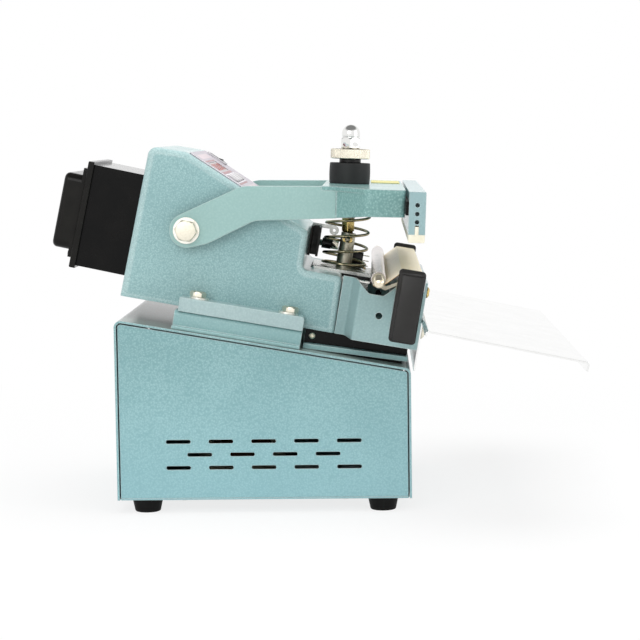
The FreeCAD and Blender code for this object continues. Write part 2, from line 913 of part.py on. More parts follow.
def rail_bolts():
    """Hexagon bolts with their nuts, two to a side."""
    seat = lug_low_b + lug_height + washer_thickness
    under = lug_low_b - rail_sheet
    pieces = []
    for a in (bolt_rear_a, bolt_front_a):
        foot = V(a, bolt_line_y(), seat)
        shank = rod(bolt_radius, V(a, bolt_line_y(), under - nut_height), foot)
        head = stood(hex_head(bolt_flats, bolt_head), foot, UP)
        nut = stood(prism(bolt_flats, nut_height), V(a, bolt_line_y(), under - nut_height), UP)
        pieces.append(head.fuse([shank, nut]))
    bolts = Part.makeCompound(pieces)
    return Part.makeCompound(bolts.Solids + mirrored(bolts).Solids)


def rail_washers():
    seat = lug_low_b + lug_height
    rings = []
    for a in (bolt_rear_a, bolt_front_a):
        foot = V(a, bolt_line_y(), seat)
        ring = rod(washer_radius, foot, foot + UP * washer_thickness)
        ring = ring.cut(rod(bolt_radius + seat_gap, foot - UP, foot + UP * (washer_thickness + 1)))
        rings += [ring, mirrored(ring)]
    return Part.makeCompound(rings)


# Head

def head_outline():
    return [
        (head_rear_a, head_rear_b),
        (head_front_a, head_front_b),
        (head_front_a - 1.0, ledge_b, head_bend),
        (head_throat_a, ledge_b + 0.5, head_bend),
        (head_throat_a, head_slant_end_b, head_bend),
        (slant_start_a, head_top_b, head_bend),
        (head_rear_a + head_lean, head_top_b, head_corner),
    ]


def head_side():
    """Near side pan: a plate whose edges turn inwards to meet the cover, with the pivot's hole."""
    inner_edge = -head_half + side_return
    pan = slab(head_outline(), -head_half, inner_edge)
    under = head_rear_b + 0.1
    rim = [edge for edge in pan.Edges
           if edge.BoundBox.YMax < -head_half + 0.01 and edge.BoundBox.ZMax > under]
    pan = pan.makeFillet(side_bend, rim)
    hollow = slab(shifted(head_outline(), head_side_sheet), -head_inner, inner_edge + 1)
    hole = rod(pivot_bolt_radius + seat_gap, V(pivot_a, -head_half - 1, seal_b), V(pivot_a, 0, seal_b))
    return pan.cut([hollow, hole])


def magnet_bay():
    """Space that the magnet takes out of the head's ledge and front."""
    half = magnet_width / 2 + yoke_overhang + 1.0
    rear = plunger_a - magnet_length / 2 - yoke_overhang - 1.0
    return block(rear, head_front_a + 10, -half, half, 0, yoke_top_b + 10)


def head_cover():
    """One sheet bent round the back, top, slanting face, throat and ledge of the head."""
    reach = head_half - side_return - seat_gap
    outer = slab(head_outline(), -reach, reach)
    inner = slab(shifted(head_outline(), head_sheet), -reach - 1, reach + 1)
    under = block(head_rear_a + head_sheet + 0.5, head_front_a - head_sheet - 1.0,
                  -reach - 1, reach + 1, head_front_b - 1, head_rear_b + head_sheet + 1)
    cover = outer.cut([inner, under, magnet_bay()])
    holes = [rocker_well(free_gap), window_hole()] + [button_block(i, free_gap) for i in range(button_count)]
    return cover.cut([in_slope(hole, PANEL) for hole in holes])


# Control panel, drawn with s along the slanting face and b off it

def control_panel():
    reach = head_half - side_return - panel_side_margin
    sheet = pad(rectangle(panel_start, panel_start + panel_length, -reach, reach, 4.0), 0, panel_thickness)
    holes = [rocker_well(seat_gap), window_hole()] + [button_block(i, free_gap) for i in range(button_count)]
    return sheet.cut(holes)


def window_outline(grow):
    return rectangle(window_s - grow, window_s + window_length + grow,
                     window_y - window_width / 2 - grow, window_y + window_width / 2 + grow, 1.5)


def window_hole():
    return pad(window_outline(seat_gap), -head_sheet - 1, panel_thickness + 1)


def display_window():
    return pad(window_outline(0), -window_thickness, panel_thickness - 0.3)


def display_module():
    """Digits' carrier behind the window, down to the board."""
    return pad(window_outline(-3.0), -button_depth(), -window_thickness - seat_gap)


def button_y(i):
    return button_row_y + (i - (button_count - 1) / 2) * button_pitch


def button_block(i, grow):
    y = button_y(i)
    points = rectangle(button_s - button_length / 2 - grow, button_s + button_length / 2 + grow,
                       y - button_width / 2 - grow, y + button_width / 2 + grow, button_corner)
    return pad(points, -button_skirt, panel_thickness + button_proud)


def push_button(i):
    button = button_block(i, 0)
    top = panel_thickness + button_proud
    rim = [edge for edge in button.Edges if edge.BoundBox.ZMin > top - 0.01]
    return button.makeFillet(0.6, rim)


def button_depth():
    """From the slanting face down to the board under the buttons."""
    return button_skirt + button_travel + switch_height


def button_switches():
    """Small key switches, one under each button, clear of it by its travel."""
    low = -button_depth()
    half = switch_size / 2
    return Part.makeCompound([block(button_s - half, button_s + half, button_y(i) - half, button_y(i) + half,
                                    low, low + switch_height - seat_gap) for i in range(button_count)])


def control_board():
    low = -button_depth() - board_thickness
    return block(board_start, board_start + board_length,
                 button_row_y - board_width / 2, button_row_y + board_width / 2, low, -button_depth())


def board_posts():
    """Posts from the inside of the slanting face to the board."""
    posts = []
    reach = board_width / 2 - board_post_inset
    for s in (board_start + board_post_inset, board_start + board_length - board_post_inset):
        for y in (button_row_y - reach, button_row_y + reach):
            posts.append(rod(board_post_radius, V(s, y, -button_depth()), V(s, y, -head_sheet - seat_gap)))
    return Part.makeCompound(posts)


def rocker_well(grow):
    half_s = rocker_bezel_length / 2 - 2.0 + grow
    half_y = rocker_bezel_width / 2 - 2.0 + grow
    return block(rocker_s - half_s, rocker_s + half_s, rocker_y - half_y, rocker_y + half_y,
                 -rocker_depth, panel_thickness)


def rocker_frame():
    """Switch body with a raised rim and a well for the rocker."""
    rim = pad(rectangle(rocker_s - rocker_bezel_length / 2, rocker_s + rocker_bezel_length / 2,
                        rocker_y - rocker_bezel_width / 2, rocker_y + rocker_bezel_width / 2, 2.0),
              panel_thickness, panel_thickness + rocker_bezel)
    frame = rim.fuse(rocker_well(0)).removeSplitter()
    half_s = rocker_length / 2 + free_gap
    half_y = rocker_width / 2 + free_gap
    well = block(rocker_s - half_s, rocker_s + half_s, rocker_y - half_y, rocker_y + half_y,
                 -rocker_depth + 3.0, panel_thickness + rocker_bezel + 1)
    pin = rod(rocker_pin_radius, V(rocker_s, rocker_y - half_y - 1, 0), V(rocker_s, rocker_y + half_y + 1, 0))
    return frame.cut(well).fuse(pin.common(well)).removeSplitter()


def rocker():
    """Two-faced rocker, stored in its off position, turned half its swing."""
    half = rocker_length / 2 - 0.8
    top = panel_thickness + rocker_bezel + 0.8
    points = [(-half + 1.2, -4.0), (half - 1.2, -4.0), (half, top, 0.8), (0, top - 1.2), (-half, top, 0.8)]
    body = slab(points, rocker_y - rocker_width / 2, rocker_y + rocker_width / 2)
    body = body.cut(rod(rocker_pin_radius + running_gap, V(0, rocker_y - rocker_width, 0),
                        V(0, rocker_y + rocker_width, 0)))
    body.rotate(V(0, 0, 0), ACROSS, -rocker_swing / 2)
    body.translate(V(rocker_s, 0, 0))
    return body


# Electrical box behind the head, drawn from the head's back

def box_outline():
    top = box_low + box_height
    return [(-box_depth, box_low), (-seat_gap, box_low, 2.0), (-seat_gap, top, 2.0), (-box_depth, top)]


def rear_box():
    half = box_width / 2
    outer = slab(box_outline(), -half, half)
    points = shifted(box_outline(), box_wall)
    inner = slab(points, -half + box_wall, half - box_wall)
    rim = box_wall + box_lip
    mouth = block(-box_depth - 1, -box_depth + box_wall + 1, -half + rim, half - rim,
                  box_low + rim, box_low + box_height - rim)
    return outer.cut([inner, mouth] + hood_screw_holes())


def lid_edges():
    """Half width, foot and top of the lid."""
    return (box_width / 2 + lid_side_overhang, box_low - lid_overhang,
            box_low + box_height + lid_overhang)


def lid_face():
    return -box_depth - seat_gap - lid_thickness


def rear_lid():
    half, low, high = lid_edges()
    lid = block(lid_face(), -box_depth - seat_gap, -half, half, low, high)
    face = [edge for edge in lid.Edges if edge.BoundBox.XMax < lid_face() + 0.01]
    lid = lid.makeFillet(lid_corner, face)
    return lid.cut(hood_screw_holes())


def rear_hood():
    """Rounded hood, hollow towards the lid, with a flange that reaches above and below it."""
    seat = lid_face() - seat_gap
    rear = seat - hood_depth
    high = hood_low + hood_height
    half = hood_width / 2
    hood = bar(rectangle(-half, half, hood_low, high, hood_corner), rear, seat)
    hood = hood.makeFillet(hood_edge, [edge for edge in hood.Edges if edge.BoundBox.XMax < rear + 0.01])
    flange = bar(rectangle(-half, half, hood_low - hood_ear, high + hood_ear, 2.0), seat - hood_flange, seat)
    hollow = bar(rectangle(-half + box_wall, half - box_wall, hood_low + box_wall, high - box_wall,
                           hood_corner - box_wall), rear + box_wall, seat + 1)
    return hood.fuse(flange).removeSplitter().cut([hollow] + hood_screw_holes())


def hood_screw_places():
    low = hood_low - hood_ear / 2
    high = hood_low + hood_height + hood_ear / 2
    return [(side * hood_screw_pitch / 2, z) for side in (-1, 1) for z in (low, high)]


def hood_screw_holes():
    """Holes through the flange, the lid and the lip of the box."""
    rear = lid_face() - hood_depth
    front = -box_depth + box_wall + 1
    return [rod(hood_screw_hole, V(rear, y, z), V(front, y, z)) for y, z in hood_screw_places()]


def hood_screws():
    """Screws that hold the hood and the lid on the box."""
    flange_face = lid_face() - seat_gap - hood_flange
    screw = pan_screw(hood_screw_radius, hood_screw_head, hood_screw_hole - seat_gap,
                      -box_depth + box_wall + 2.0 - flange_face)
    return group([stood(screw, V(flange_face, y, z), FORWARD * -1) for y, z in hood_screw_places()])


# Lower bracket

def bracket_plan(side):
    """Line of the bracket's wall seen from above, from the head round to the front."""
    rear = head_front_a + seat_gap
    neck = rear + bracket_neck
    flare = neck + bracket_flare
    return [(rear, side * head_half), (neck, side * head_half, 3.0),
            (flare, side * bracket_half, 3.0), (bracket_front_a, side * bracket_half, 3.0),
            (bracket_front_a, 0)]


def jaw_seat_cut(grow):
    """Slot that lets the lower jaw through the bracket's sides."""
    low = jaw_top_b - lower_jaw_height - grow
    return block(jaw_a - lower_jaw_width / 2 - grow, jaw_a + lower_jaw_width / 2 + grow,
                 -jaw_half, jaw_half, low, seal_b)


def lower_bracket():
    wall = pad(folded(bracket_plan(-1), bracket_sheet), bracket_low_b, bracket_front_top_b)
    wall = wall.fuse(mirrored(wall)).removeSplitter()
    rear = head_front_a + seat_gap
    neck = rear + bracket_neck
    flare = neck + bracket_flare
    narrow = head_half - bracket_sheet / 2
    wide = bracket_half - bracket_sheet / 2
    front = bracket_front_a - 1.0
    floor_points = [(rear, -narrow), (neck, -narrow), (flare, -wide), (front, -wide),
                    (front, wide), (flare, wide), (neck, narrow), (rear, narrow)]
    floor = pad(floor_points, bracket_low_b, bracket_low_b + bracket_sheet)
    bracket = wall.fuse(floor).removeSplitter()
    high = bracket_front_top_b + 1
    trim = slab([(rear - 1, bracket_top_b), (roller_a - notch_rear - 4.0, bracket_top_b, 3.0),
                 (roller_a - notch_floor_rear, notch_floor_b, 3.0),
                 (roller_a + notch_floor_front, notch_floor_b, 3.0),
                 (roller_a + notch_front, bracket_top_b + 1.0),
                 (bracket_front_a - bracket_sheet - 0.5, bracket_top_b + 1.0),
                 (bracket_front_a - bracket_sheet - 0.5, high), (rear - 1, high)],
                -bracket_half - 1, bracket_half + 1)
    hole_a = jaw_a - bracket_hole_behind
    hole = rod(bracket_hole_radius, V(hole_a, -bracket_half - 1, bracket_hole_b),
               V(hole_a, bracket_half + 1, bracket_hole_b))
    fixings = [rod(terminal_shank_radius + seat_gap, V(jaw_a, y, terminal_b),
                   V(bracket_front_a + 1, y, terminal_b)) for y in (-terminal_y, terminal_y)]
    fixings += [rod(shelf_screw_radius + seat_gap, V(jaw_a, y, shelf_screw_b),
                    V(bracket_front_a + 1, y, shelf_screw_b)) for y in (-shelf_screw_y, shelf_screw_y)]
    return bracket.cut([trim, hole, jaw_seat_cut(seat_gap)] + fixings)


# Lower jaw

def lower_jaw_outline():
    return rectangle(jaw_a - lower_jaw_width / 2, jaw_a + lower_jaw_width / 2,
                     jaw_top_b - lower_jaw_height, jaw_top_b, lower_jaw_corner)


def lower_jaw():
    outer = slab(lower_jaw_outline(), -jaw_half, jaw_half)
    inner = slab(shifted(lower_jaw_outline(), lower_jaw_wall), -jaw_half - 1, jaw_half + 1)
    front = jaw_a + lower_jaw_width / 2
    holes = [rod(terminal_shank_radius + seat_gap, V(jaw_a, y, terminal_b), V(front + 1, y, terminal_b))
             for y in (-terminal_y, terminal_y)]
    return outer.cut([inner] + holes)


def jaw_terminals():
    """Brass screws through the bracket's front into the jaw, each with a spacer collar."""
    front = jaw_a + lower_jaw_width / 2
    pieces = []
    for y in (-terminal_y, terminal_y):
        screw = stood(pan_screw(terminal_radius, terminal_head, terminal_shank_radius,
                                bracket_front_a - front + lower_jaw_wall + 2.0),
                      V(bracket_front_a, y, terminal_b), FORWARD)
        collar = rod(terminal_shank_radius + 2.5, V(front, y, terminal_b),
                     V(bracket_front_a - bracket_sheet, y, terminal_b))
        pieces.append(screw.fuse(collar).removeSplitter())
    return Part.makeCompound(pieces)


def band_bed_strip():
    return block(jaw_a - band_bed_width / 2, jaw_a + band_bed_width / 2, -jaw_half + 2, jaw_half - 2,
                 jaw_top_b, jaw_top_b + band_bed)


def heating_band():
    low = jaw_top_b + band_bed
    return block(jaw_a - band_width / 2, jaw_a + band_width / 2, -jaw_half + 2, jaw_half - 2,
                 low, low + band_thickness)


def jaw_cap():
    """Near end cap: a plate with a bevelled rim and a plug in the jaw's bore."""
    low = jaw_top_b - lower_jaw_height - cap_overhang
    points = rectangle(jaw_a - lower_jaw_width / 2 - cap_overhang, jaw_a + lower_jaw_width / 2 + cap_overhang,
                       low, seal_b + cap_stand, cap_corner)
    inner = -jaw_half - free_gap
    plate = slab(points, inner - cap_thickness, inner)
    rim = slab(shifted(points, 1.4), inner - cap_thickness - cap_rim, inner - cap_thickness)
    plug = slab(shifted(lower_jaw_outline(), lower_jaw_wall + seat_gap), inner, -jaw_half + 8.0)
    return plate.fuse([rim, plug]).removeSplitter()


# Anti-stick cloth

def cloth_start():
    """Point on the roll where the cloth leaves it towards the jaw's rear top corner."""
    corner = V(jaw_a - lower_jaw_width / 2, 0, seal_b - cloth_thickness)
    centre = V(roller_a, 0, roller_b)
    reach = corner - centre
    radius = roll_radius + free_gap + cloth_thickness
    swing = math.acos(radius / reach.Length)
    heading = math.atan2(reach.z, reach.x) - swing
    return V(roller_a + radius * math.cos(heading), 0, roller_b + radius * math.sin(heading))


def cloth_line():
    start = cloth_start()
    rear = jaw_a - lower_jaw_width / 2 - seat_gap
    front = jaw_a + lower_jaw_width / 2 + seat_gap
    top = seal_b - cloth_thickness
    return [(start.x, start.z), (rear, top, 2.0), (front, top, 2.0), (front, top - cloth_drop)]


def ptfe_cloth():
    half = cloth_width / 2
    return slab(folded(cloth_line(), cloth_thickness), -half, half)


def cloth_clamp():
    front = jaw_a + lower_jaw_width / 2 + seat_gap + cloth_thickness + seat_gap
    high = seal_b - cloth_thickness - cloth_drop + clamp_height
    points = rectangle(front, front + clamp_thickness, high - clamp_height, high, 0.6)
    return slab(points, -cloth_width / 2, cloth_width / 2)


def cloth_roller():
    """Tube that guides the cloth, loose on its rod."""
    half = roll_length / 2
    roll = rod(roll_radius, V(roller_a, -half, roller_b), V(roller_a, half, roller_b))
    bore = rod(roller_rod_radius + running_gap, V(roller_a, -half - 1, roller_b),
               V(roller_a, half + 1, roller_b))
    return roll.cut(bore)


def roller_rod():
    half = roller_rod_length / 2
    return rod(roller_rod_radius, V(roller_a, -half, roller_b), V(roller_a, half, roller_b))


def roller_hanger():
    """Near hanger: an ear round the rod on a bent strap from the back of the lower jaw."""
    y_low = -jaw_half + hanger_end_gap
    y_high = y_low + hanger_thickness
    jaw_back = jaw_a - lower_jaw_width / 2
    bend_a = roller_a + hanger_bend_ahead
    low = roller_b - hanger_ear - hanger_dip
    high = roller_b + hanger_foot_rise
    ear = rod(hanger_ear, V(roller_a, y_low, roller_b), V(roller_a, y_high, roller_b))
    strap = slab([(roller_a, roller_b - hanger_ear), (bend_a, low, 2.0), (jaw_back, high - hanger_strap),
                  (jaw_back, high), (bend_a, low + hanger_strap, 2.0),
                  (roller_a + hanger_ear * 0.7, roller_b - hanger_ear * 0.4)], y_low, y_high)
    foot = block(jaw_back - hanger_foot_sheet, jaw_back, y_high, y_high + hanger_foot_width,
                 high - hanger_foot_height, high)
    bore = rod(roller_rod_radius + running_gap, V(roller_a, y_low - 1, roller_b),
               V(roller_a, y_high + 1, roller_b))
    return strap.fuse([ear, foot]).removeSplitter().cut(bore)


# Arm and press beam, drawn from the pivot with the arm fully down

def tangent_point(x, z, side):
    """Where a line from (x, z) touches the arm's round end, above or below."""
    distance = math.hypot(x, z)
    heading = math.atan2(z, x) + side * math.acos(arm_end_radius / distance)
    return arm_end_radius * math.cos(heading), arm_end_radius * math.sin(heading)


def arm_side():
    """Near arm plate, from its round end at the pivot to the press beam."""
    knee_b = arm_top_b - arm_knee_drop
    upper = tangent_point(arm_knee_a, knee_b, 1)
    lower = tangent_point(arm_toe_a, arm_toe_b, -1)
    points = [upper, lower, (arm_toe_a, arm_toe_b, 12.0), (arm_heel_a, arm_heel_b, arm_heel_bend),
              (arm_front_a, arm_front_b), (arm_front_a, arm_top_b - beam_top),
              (beam_rear_a, arm_top_b - beam_top), (beam_rear_a, arm_top_b - 0.2),
              (arm_knee_a, knee_b, arm_knee_bend)]
    plate = slab(points, -arm_outer, -arm_inner)
    plate = plate.fuse(rod(arm_end_radius, V(0, -arm_outer, 0), V(0, -arm_inner, 0))).removeSplitter()
    return plate.cut(rod(pivot_bolt_radius + pivot_bush_wall + seat_gap, V(0, -arm_outer - 1, 0), V(0, 0, 0)))


def pivot_bush():
    """Near flanged bush, fixed in the arm, that turns on the pivot bolt."""
    inner = -head_half - seat_gap
    flange = rod(pivot_bolt_radius + pivot_bush_flange, V(0, -arm_inner, 0), V(0, inner, 0))
    sleeve = rod(pivot_bolt_radius + pivot_bush_wall, V(0, -arm_outer, 0), V(0, -arm_inner, 0))
    bore = rod(pivot_bolt_radius + running_gap, V(0, -arm_outer - 1, 0), V(0, inner + 1, 0))
    return flange.fuse(sleeve).removeSplitter().cut(bore)


def pivot_bolts():
    """One hexagon bolt a side, held in the head's side plate by its nut."""
    outer = -arm_outer - seat_gap - pivot_washer
    nut_face = -head_inner
    head = stood(hex_head(pivot_bolt_flats, pivot_bolt_head), V(pivot_a, outer, seal_b), ACROSS * -1)
    shank = rod(pivot_bolt_radius, V(pivot_a, outer, seal_b), V(pivot_a, nut_face + pivot_nut, seal_b))
    nut = stood(prism(pivot_bolt_flats, pivot_nut), V(pivot_a, nut_face, seal_b), ACROSS)
    bolt = head.fuse([shank, nut])
    return Part.makeCompound(bolt.Solids + mirrored(bolt).Solids)


def pivot_washers():
    outer = V(pivot_a, -arm_outer - seat_gap - pivot_washer, seal_b)
    inner = V(pivot_a, -arm_outer - seat_gap, seal_b)
    ring = rod(pivot_washer_radius, outer, inner)
    return both_sides(ring.cut(rod(pivot_bolt_radius + seat_gap, outer - ACROSS, inner + ACROSS)))


def beam_plan(side):
    return [(beam_rear_a, side * arm_outer), (arm_front_a, side * arm_outer, beam_bend),
            (beam_flare_a, side * beam_half, beam_bend), (beam_front_a, side * beam_half, beam_bend),
            (beam_front_a, 0)]


def press_beam():
    """Folded beam: a flared top plate with skirts at its sides and front."""
    near = beam_plan(-1)
    far = [(x, -y, *rest) for x, y, *rest in near[:-1]][::-1]
    top = pad(near[:-1] + far, arm_top_b - beam_top, arm_top_b)
    skirt_line = [(arm_front_a + seat_gap, -arm_outer), *near[1:]]
    skirt_line[1] = (arm_front_a + 1.0, -arm_outer)
    skirt = pad(folded(skirt_line, beam_skirt), arm_front_b, arm_top_b - beam_top)
    trim = slab([(arm_front_a - 1, arm_front_b - 1), (beam_front_a + 1, arm_front_b - 1),
                 (beam_front_a + 1, beam_low_b), (beam_flare_a, beam_low_b - 0.5),
                 (arm_front_a - 1, arm_front_b)], -beam_half - 1, beam_half + 1)
    skirt = skirt.cut(trim)
    beam = top.fuse([skirt, mirrored(skirt)]).removeSplitter()
    rod_hole = rod(rod_radius + free_gap, V(stroke_reach, 0, 0), V(stroke_reach, 0, arm_top_b + 1))
    screws = [rod(jaw_screw_radius + seat_gap, V(beam_front_a - 10, y, jaw_screw_b),
                  V(beam_front_a + 1, y, jaw_screw_b)) for y in jaw_screw_y]
    return beam.cut([rod_hole] + screws)


def label_plate():
    rear = stroke_reach + label_ahead
    points = rectangle(rear, rear + label_length, label_y, label_y + label_width, 2.0)
    return pad(points, arm_top_b, arm_top_b + label_thickness)


# Upper jaw

def upper_jaw():
    """Bar with a groove for the sealing strip and screw holes in its ends."""
    rear = upper_jaw_rear_a
    front = rear + upper_jaw_width
    middle = (rear + front) / 2
    half_groove = upper_jaw_groove_width / 2
    low = upper_jaw_low_b
    points = [(rear, low, 0.6), (middle - half_groove, low), (middle - half_groove, low + upper_jaw_groove),
              (middle + half_groove, low + upper_jaw_groove), (middle + half_groove, low),
              (front, low, 0.6), (front, arm_top_b, 0.8), (rear, arm_top_b, 0.8)]
    jaw = slab(points, -jaw_half, jaw_half)
    holes = []
    for b in upper_jaw_hole_b:
        near = rod(upper_jaw_hole_radius, V(middle, -jaw_half - 1, b),
                   V(middle, -jaw_half + upper_jaw_hole_depth, b))
        holes += [near, mirrored(near)]
    holes += [rod(jaw_screw_radius + seat_gap, V(rear - 1, y, jaw_screw_b),
                  V(rear + jaw_screw_bite + 1, y, jaw_screw_b)) for y in jaw_screw_y]
    return jaw.cut(holes)


def sealing_strip():
    rear = upper_jaw_rear_a + (upper_jaw_width - strip_width) / 2
    front = rear + strip_width
    middle = (rear + front) / 2
    half_rib = upper_jaw_groove_width / 2 - seat_gap
    rib_top = upper_jaw_low_b + upper_jaw_groove - 1
    points = [(rear, strip_gap, strip_corner), (front, strip_gap, strip_corner), (front, upper_jaw_low_b),
              (middle + half_rib, upper_jaw_low_b), (middle + half_rib, rib_top),
              (middle - half_rib, rib_top), (middle - half_rib, upper_jaw_low_b), (rear, upper_jaw_low_b)]
    return slab(points, -jaw_half, jaw_half)


def jaw_spacer():
    """Dark strip between the beam's front and the jaw."""
    strip = block(beam_front_a, upper_jaw_rear_a, -jaw_half, jaw_half, spacer_b, spacer_b + spacer_height)
    return strip.cut([rod(jaw_screw_radius + seat_gap, V(beam_front_a - 1, y, jaw_screw_b),
                          V(upper_jaw_rear_a + 1, y, jaw_screw_b)) for y in jaw_screw_y])


def jaw_screws():
    inner = beam_front_a - beam_skirt
    shank = upper_jaw_rear_a + jaw_screw_bite - inner
    screw = pan_screw(jaw_screw_head_radius, jaw_screw_head, jaw_screw_radius, shank)
    return Part.makeCompound([stood(screw, V(inner, y, jaw_screw_b), FORWARD * -1) for y in jaw_screw_y])


# Pressure rod and what is on it

def pressure_rod():
    top = arm_top_b + bush_height + bush_washer + knurl_height + acorn_hex
    shoulder = V(stroke_reach, 0, pin_b + rod_end_top)
    foot = shoulder - UP * spigot_length
    spigot = rod(spigot_radius, foot, shoulder)
    return rod(rod_radius, shoulder, V(stroke_reach, 0, top)).fuse(spigot).removeSplitter()


def on_rod(shape, b):
    return stood(shape, V(stroke_reach, 0, b), UP)


def rubber_bush():
    bore = rod_radius + seat_gap
    profile = [(bore, 0), (bush_radius, 0, bush_round), (bush_radius, bush_height, bush_round),
               (bore, bush_height)]
    return on_rod(turned(profile), arm_top_b)


def bush_collar():
    bore = rod_radius + seat_gap
    profile = [(bore, 0), (bush_washer_radius, 0, 0.4), (bush_washer_radius, bush_washer, 0.4),
               (bore, bush_washer)]
    return on_rod(turned(profile), arm_top_b + bush_height)


def knurled_nut():
    """Round nut with a toothed edge that sets the sealing pressure."""
    bore = rod_radius + running_gap
    profile = [(bore, 0), (knurl_radius - 1.2, 0), (knurl_radius, 1.2), (knurl_radius, knurl_height - 1.2),
               (knurl_radius - 1.2, knurl_height), (bore + 5.0, knurl_height),
               (bore + 4.0, knurl_height - 1.0), (bore, knurl_height - 1.0)]
    nut = turned(profile)
    tooth_radius = math.pi * knurl_radius / knurl_teeth / 2
    cutters = []
    for i in range(knurl_teeth):
        turn = 2 * math.pi * i / knurl_teeth
        reach = knurl_radius + tooth_radius - knurl_depth
        foot = V(reach * math.cos(turn), reach * math.sin(turn), -1)
        cutters.append(rod(tooth_radius, foot, foot + UP * (knurl_height + 2)))
    return on_rod(nut.cut(cutters), arm_top_b + bush_height + bush_washer + seat_gap)


def acorn_nut():
    """Domed nut: a hexagon with a round cap, closed over the rod's end."""
    hexagon = prism(acorn_flats, acorn_hex, acorn_turn)
    neck = acorn_flats / 2 - 0.3
    dome = turned([(0, acorn_hex - 1), (neck, acorn_hex - 1), (neck, acorn_height - neck),
                   (neck, acorn_height, neck - 0.6), (0, acorn_height)])
    nut = hexagon.fuse(dome).removeSplitter()
    bore = rod(rod_radius + seat_gap, V(0, 0, -1), V(0, 0, acorn_hex + seat_gap))
    return on_rod(nut.cut(bore), arm_top_b + bush_height + bush_washer + knurl_height + 2 * seat_gap)


def rod_end():
    """Round piece on the pressure rod with a flat tongue for the plunger's fork."""
    low = V(stroke_reach, 0, pin_b + rod_end_low)
    high = V(stroke_reach, 0, pin_b + rod_end_top)
    body = rod(rod_end_radius, low, high)
    half_a = tongue_width / 2
    half_y = tongue / 2
    blade = block(stroke_reach - half_a, stroke_reach + half_a, -half_y, half_y, pin_b, low.z + 1)
    round_end = rod(half_a, V(stroke_reach, -half_y, pin_b), V(stroke_reach, half_y, pin_b))
    bore = rod(spigot_radius, high - UP * spigot_length, high + UP)
    pin = rod(fork_pin_radius, V(stroke_reach, -tongue, pin_b), V(stroke_reach, tongue, pin_b))
    return body.fuse([blade, round_end]).removeSplitter().cut([bore, pin])


def fork_pin():
    half = plunger_radius + fork_pin_stand
    return rod(fork_pin_radius, V(stroke_reach, -half, pin_b), V(stroke_reach, half, pin_b))


def plunger():
    """Steel plunger with a forked top, raised by its stroke while the arm is open."""
    pin = seal_b + pin_b + plunger_stroke
    floor = pin - fork_depth
    top = pin + fork_top
    body = rod(plunger_radius, V(plunger_a, 0, floor - plunger_length), V(plunger_a, 0, top))
    reach = plunger_radius + 1
    slot = block(plunger_a - reach, plunger_a + reach, -fork_slot / 2, fork_slot / 2, floor, top + 1)
    travel = fork_pin_radius + fork_pin_slack
    grip = fork_pin_radius + fork_pin_fit
    eye = slab(rectangle(plunger_a - travel, plunger_a + travel, pin - grip, pin + grip, grip - 0.01),
               -reach, reach)
    return body.cut([slot, eye])


# Return spring

def spring_axis():
    """Centre line of the bent spring at rest: seat, upper end and the turn between them."""
    swing = math.radians(open_angle)
    lift = arm_top_b - beam_top
    foot = V(plunger_a, 0, spring_seat_b)
    top = V(pivot_a + stroke_reach * math.cos(swing) - lift * math.sin(swing), 0,
            seal_b + stroke_reach * math.sin(swing) + lift * math.cos(swing))
    return foot, top, swing


def spring_height(turn, length):
    """How far up its axis the wire is after a number of turns, with closed end turns."""
    end_pitch = spring_wire + spring_end_gap
    middle_turns = spring_turns - 2 * spring_end_turns
    pitch = (length - 2 * end_pitch * spring_end_turns) / middle_turns
    if turn <= spring_end_turns:
        return end_pitch * turn
    if turn >= spring_turns - spring_end_turns:
        return length - end_pitch * (spring_turns - turn)
    return end_pitch * spring_end_turns + pitch * (turn - spring_end_turns)


def spring_point(turn):
    """Point on the wire's centre line."""
    foot, top, swing = spring_axis()
    margin = spring_wire / 2 + free_gap
    chord = top - foot
    length = chord.Length - 2 * margin
    share = (margin + spring_height(turn, length)) / chord.Length
    lean = swing * share
    bow = 4 * share * (1 - share) * chord.Length * math.tan(swing / 4) / 2
    side = V(chord.z, 0, -chord.x).normalize()
    centre = foot + chord * share + side * bow
    outward = V(math.cos(lean), 0, math.sin(lean))
    angle = 2 * math.pi * turn
    return centre + outward * (spring_radius * math.cos(angle)) + ACROSS * (spring_radius * math.sin(angle))


def spring_heading(turn):
    step = 1e-4
    low = max(turn - step, 0)
    high = min(turn + step, spring_turns)
    return (spring_point(high) - spring_point(low)).normalize()


def biarc(start, start_heading, end, end_heading):
    """Two tangent arcs from one point and heading to another."""
    span = end - start
    total = start_heading + end_heading
    square = total.dot(total) - 4
    cross = span.dot(total)
    reach = (cross - math.sqrt(cross * cross - square * span.dot(span))) / square
    first = start + start_heading * reach
    second = end - end_heading * reach
    joint = (first + second) * 0.5
    arcs = []
    for low, corner, high in ((start, first, joint), (joint, second, end)):
        turn = (corner - low).getAngle(high - corner)
        inward = ((low + high) * 0.5 - corner).normalize()
        middle = corner + inward * (reach * math.tan(turn / 4))
        arcs.append(Part.Arc(low, middle, high).toShape())
    return arcs


def spring_least_gap():
    """Smallest distance from the wire's surface to that of the next turn."""
    steps = 48
    count = int(spring_turns * steps)
    points = [spring_point(i / steps) for i in range(count + 1)]
    least = min(points[i].distanceToPoint(points[j])
                for i in range(count + 1) for j in range(i + steps // 2, count + 1))
    return least - spring_wire


def return_spring():
    edges = []
    halves = int(round(spring_turns * 2))
    for i in range(halves):
        edges += biarc(spring_point(i / 2), spring_heading(i / 2),
                       spring_point((i + 1) / 2), spring_heading((i + 1) / 2))
    path = Part.Wire(edges)
    circle = Part.Circle(spring_point(0), spring_heading(0), spring_wire / 2).toShape()
    wire = path.makePipeShell([Part.Wire([circle])], True, False)
    print("spring least gap to itself %.2f mm" % spring_least_gap())
    return wire


# Electromagnet

def magnet_low():
    return bracket_low_b + bracket_sheet + magnet_floor_gap


def plunger_bore(radius, low, high):
    return rod(radius, V(plunger_a, 0, low), V(plunger_a, 0, high))


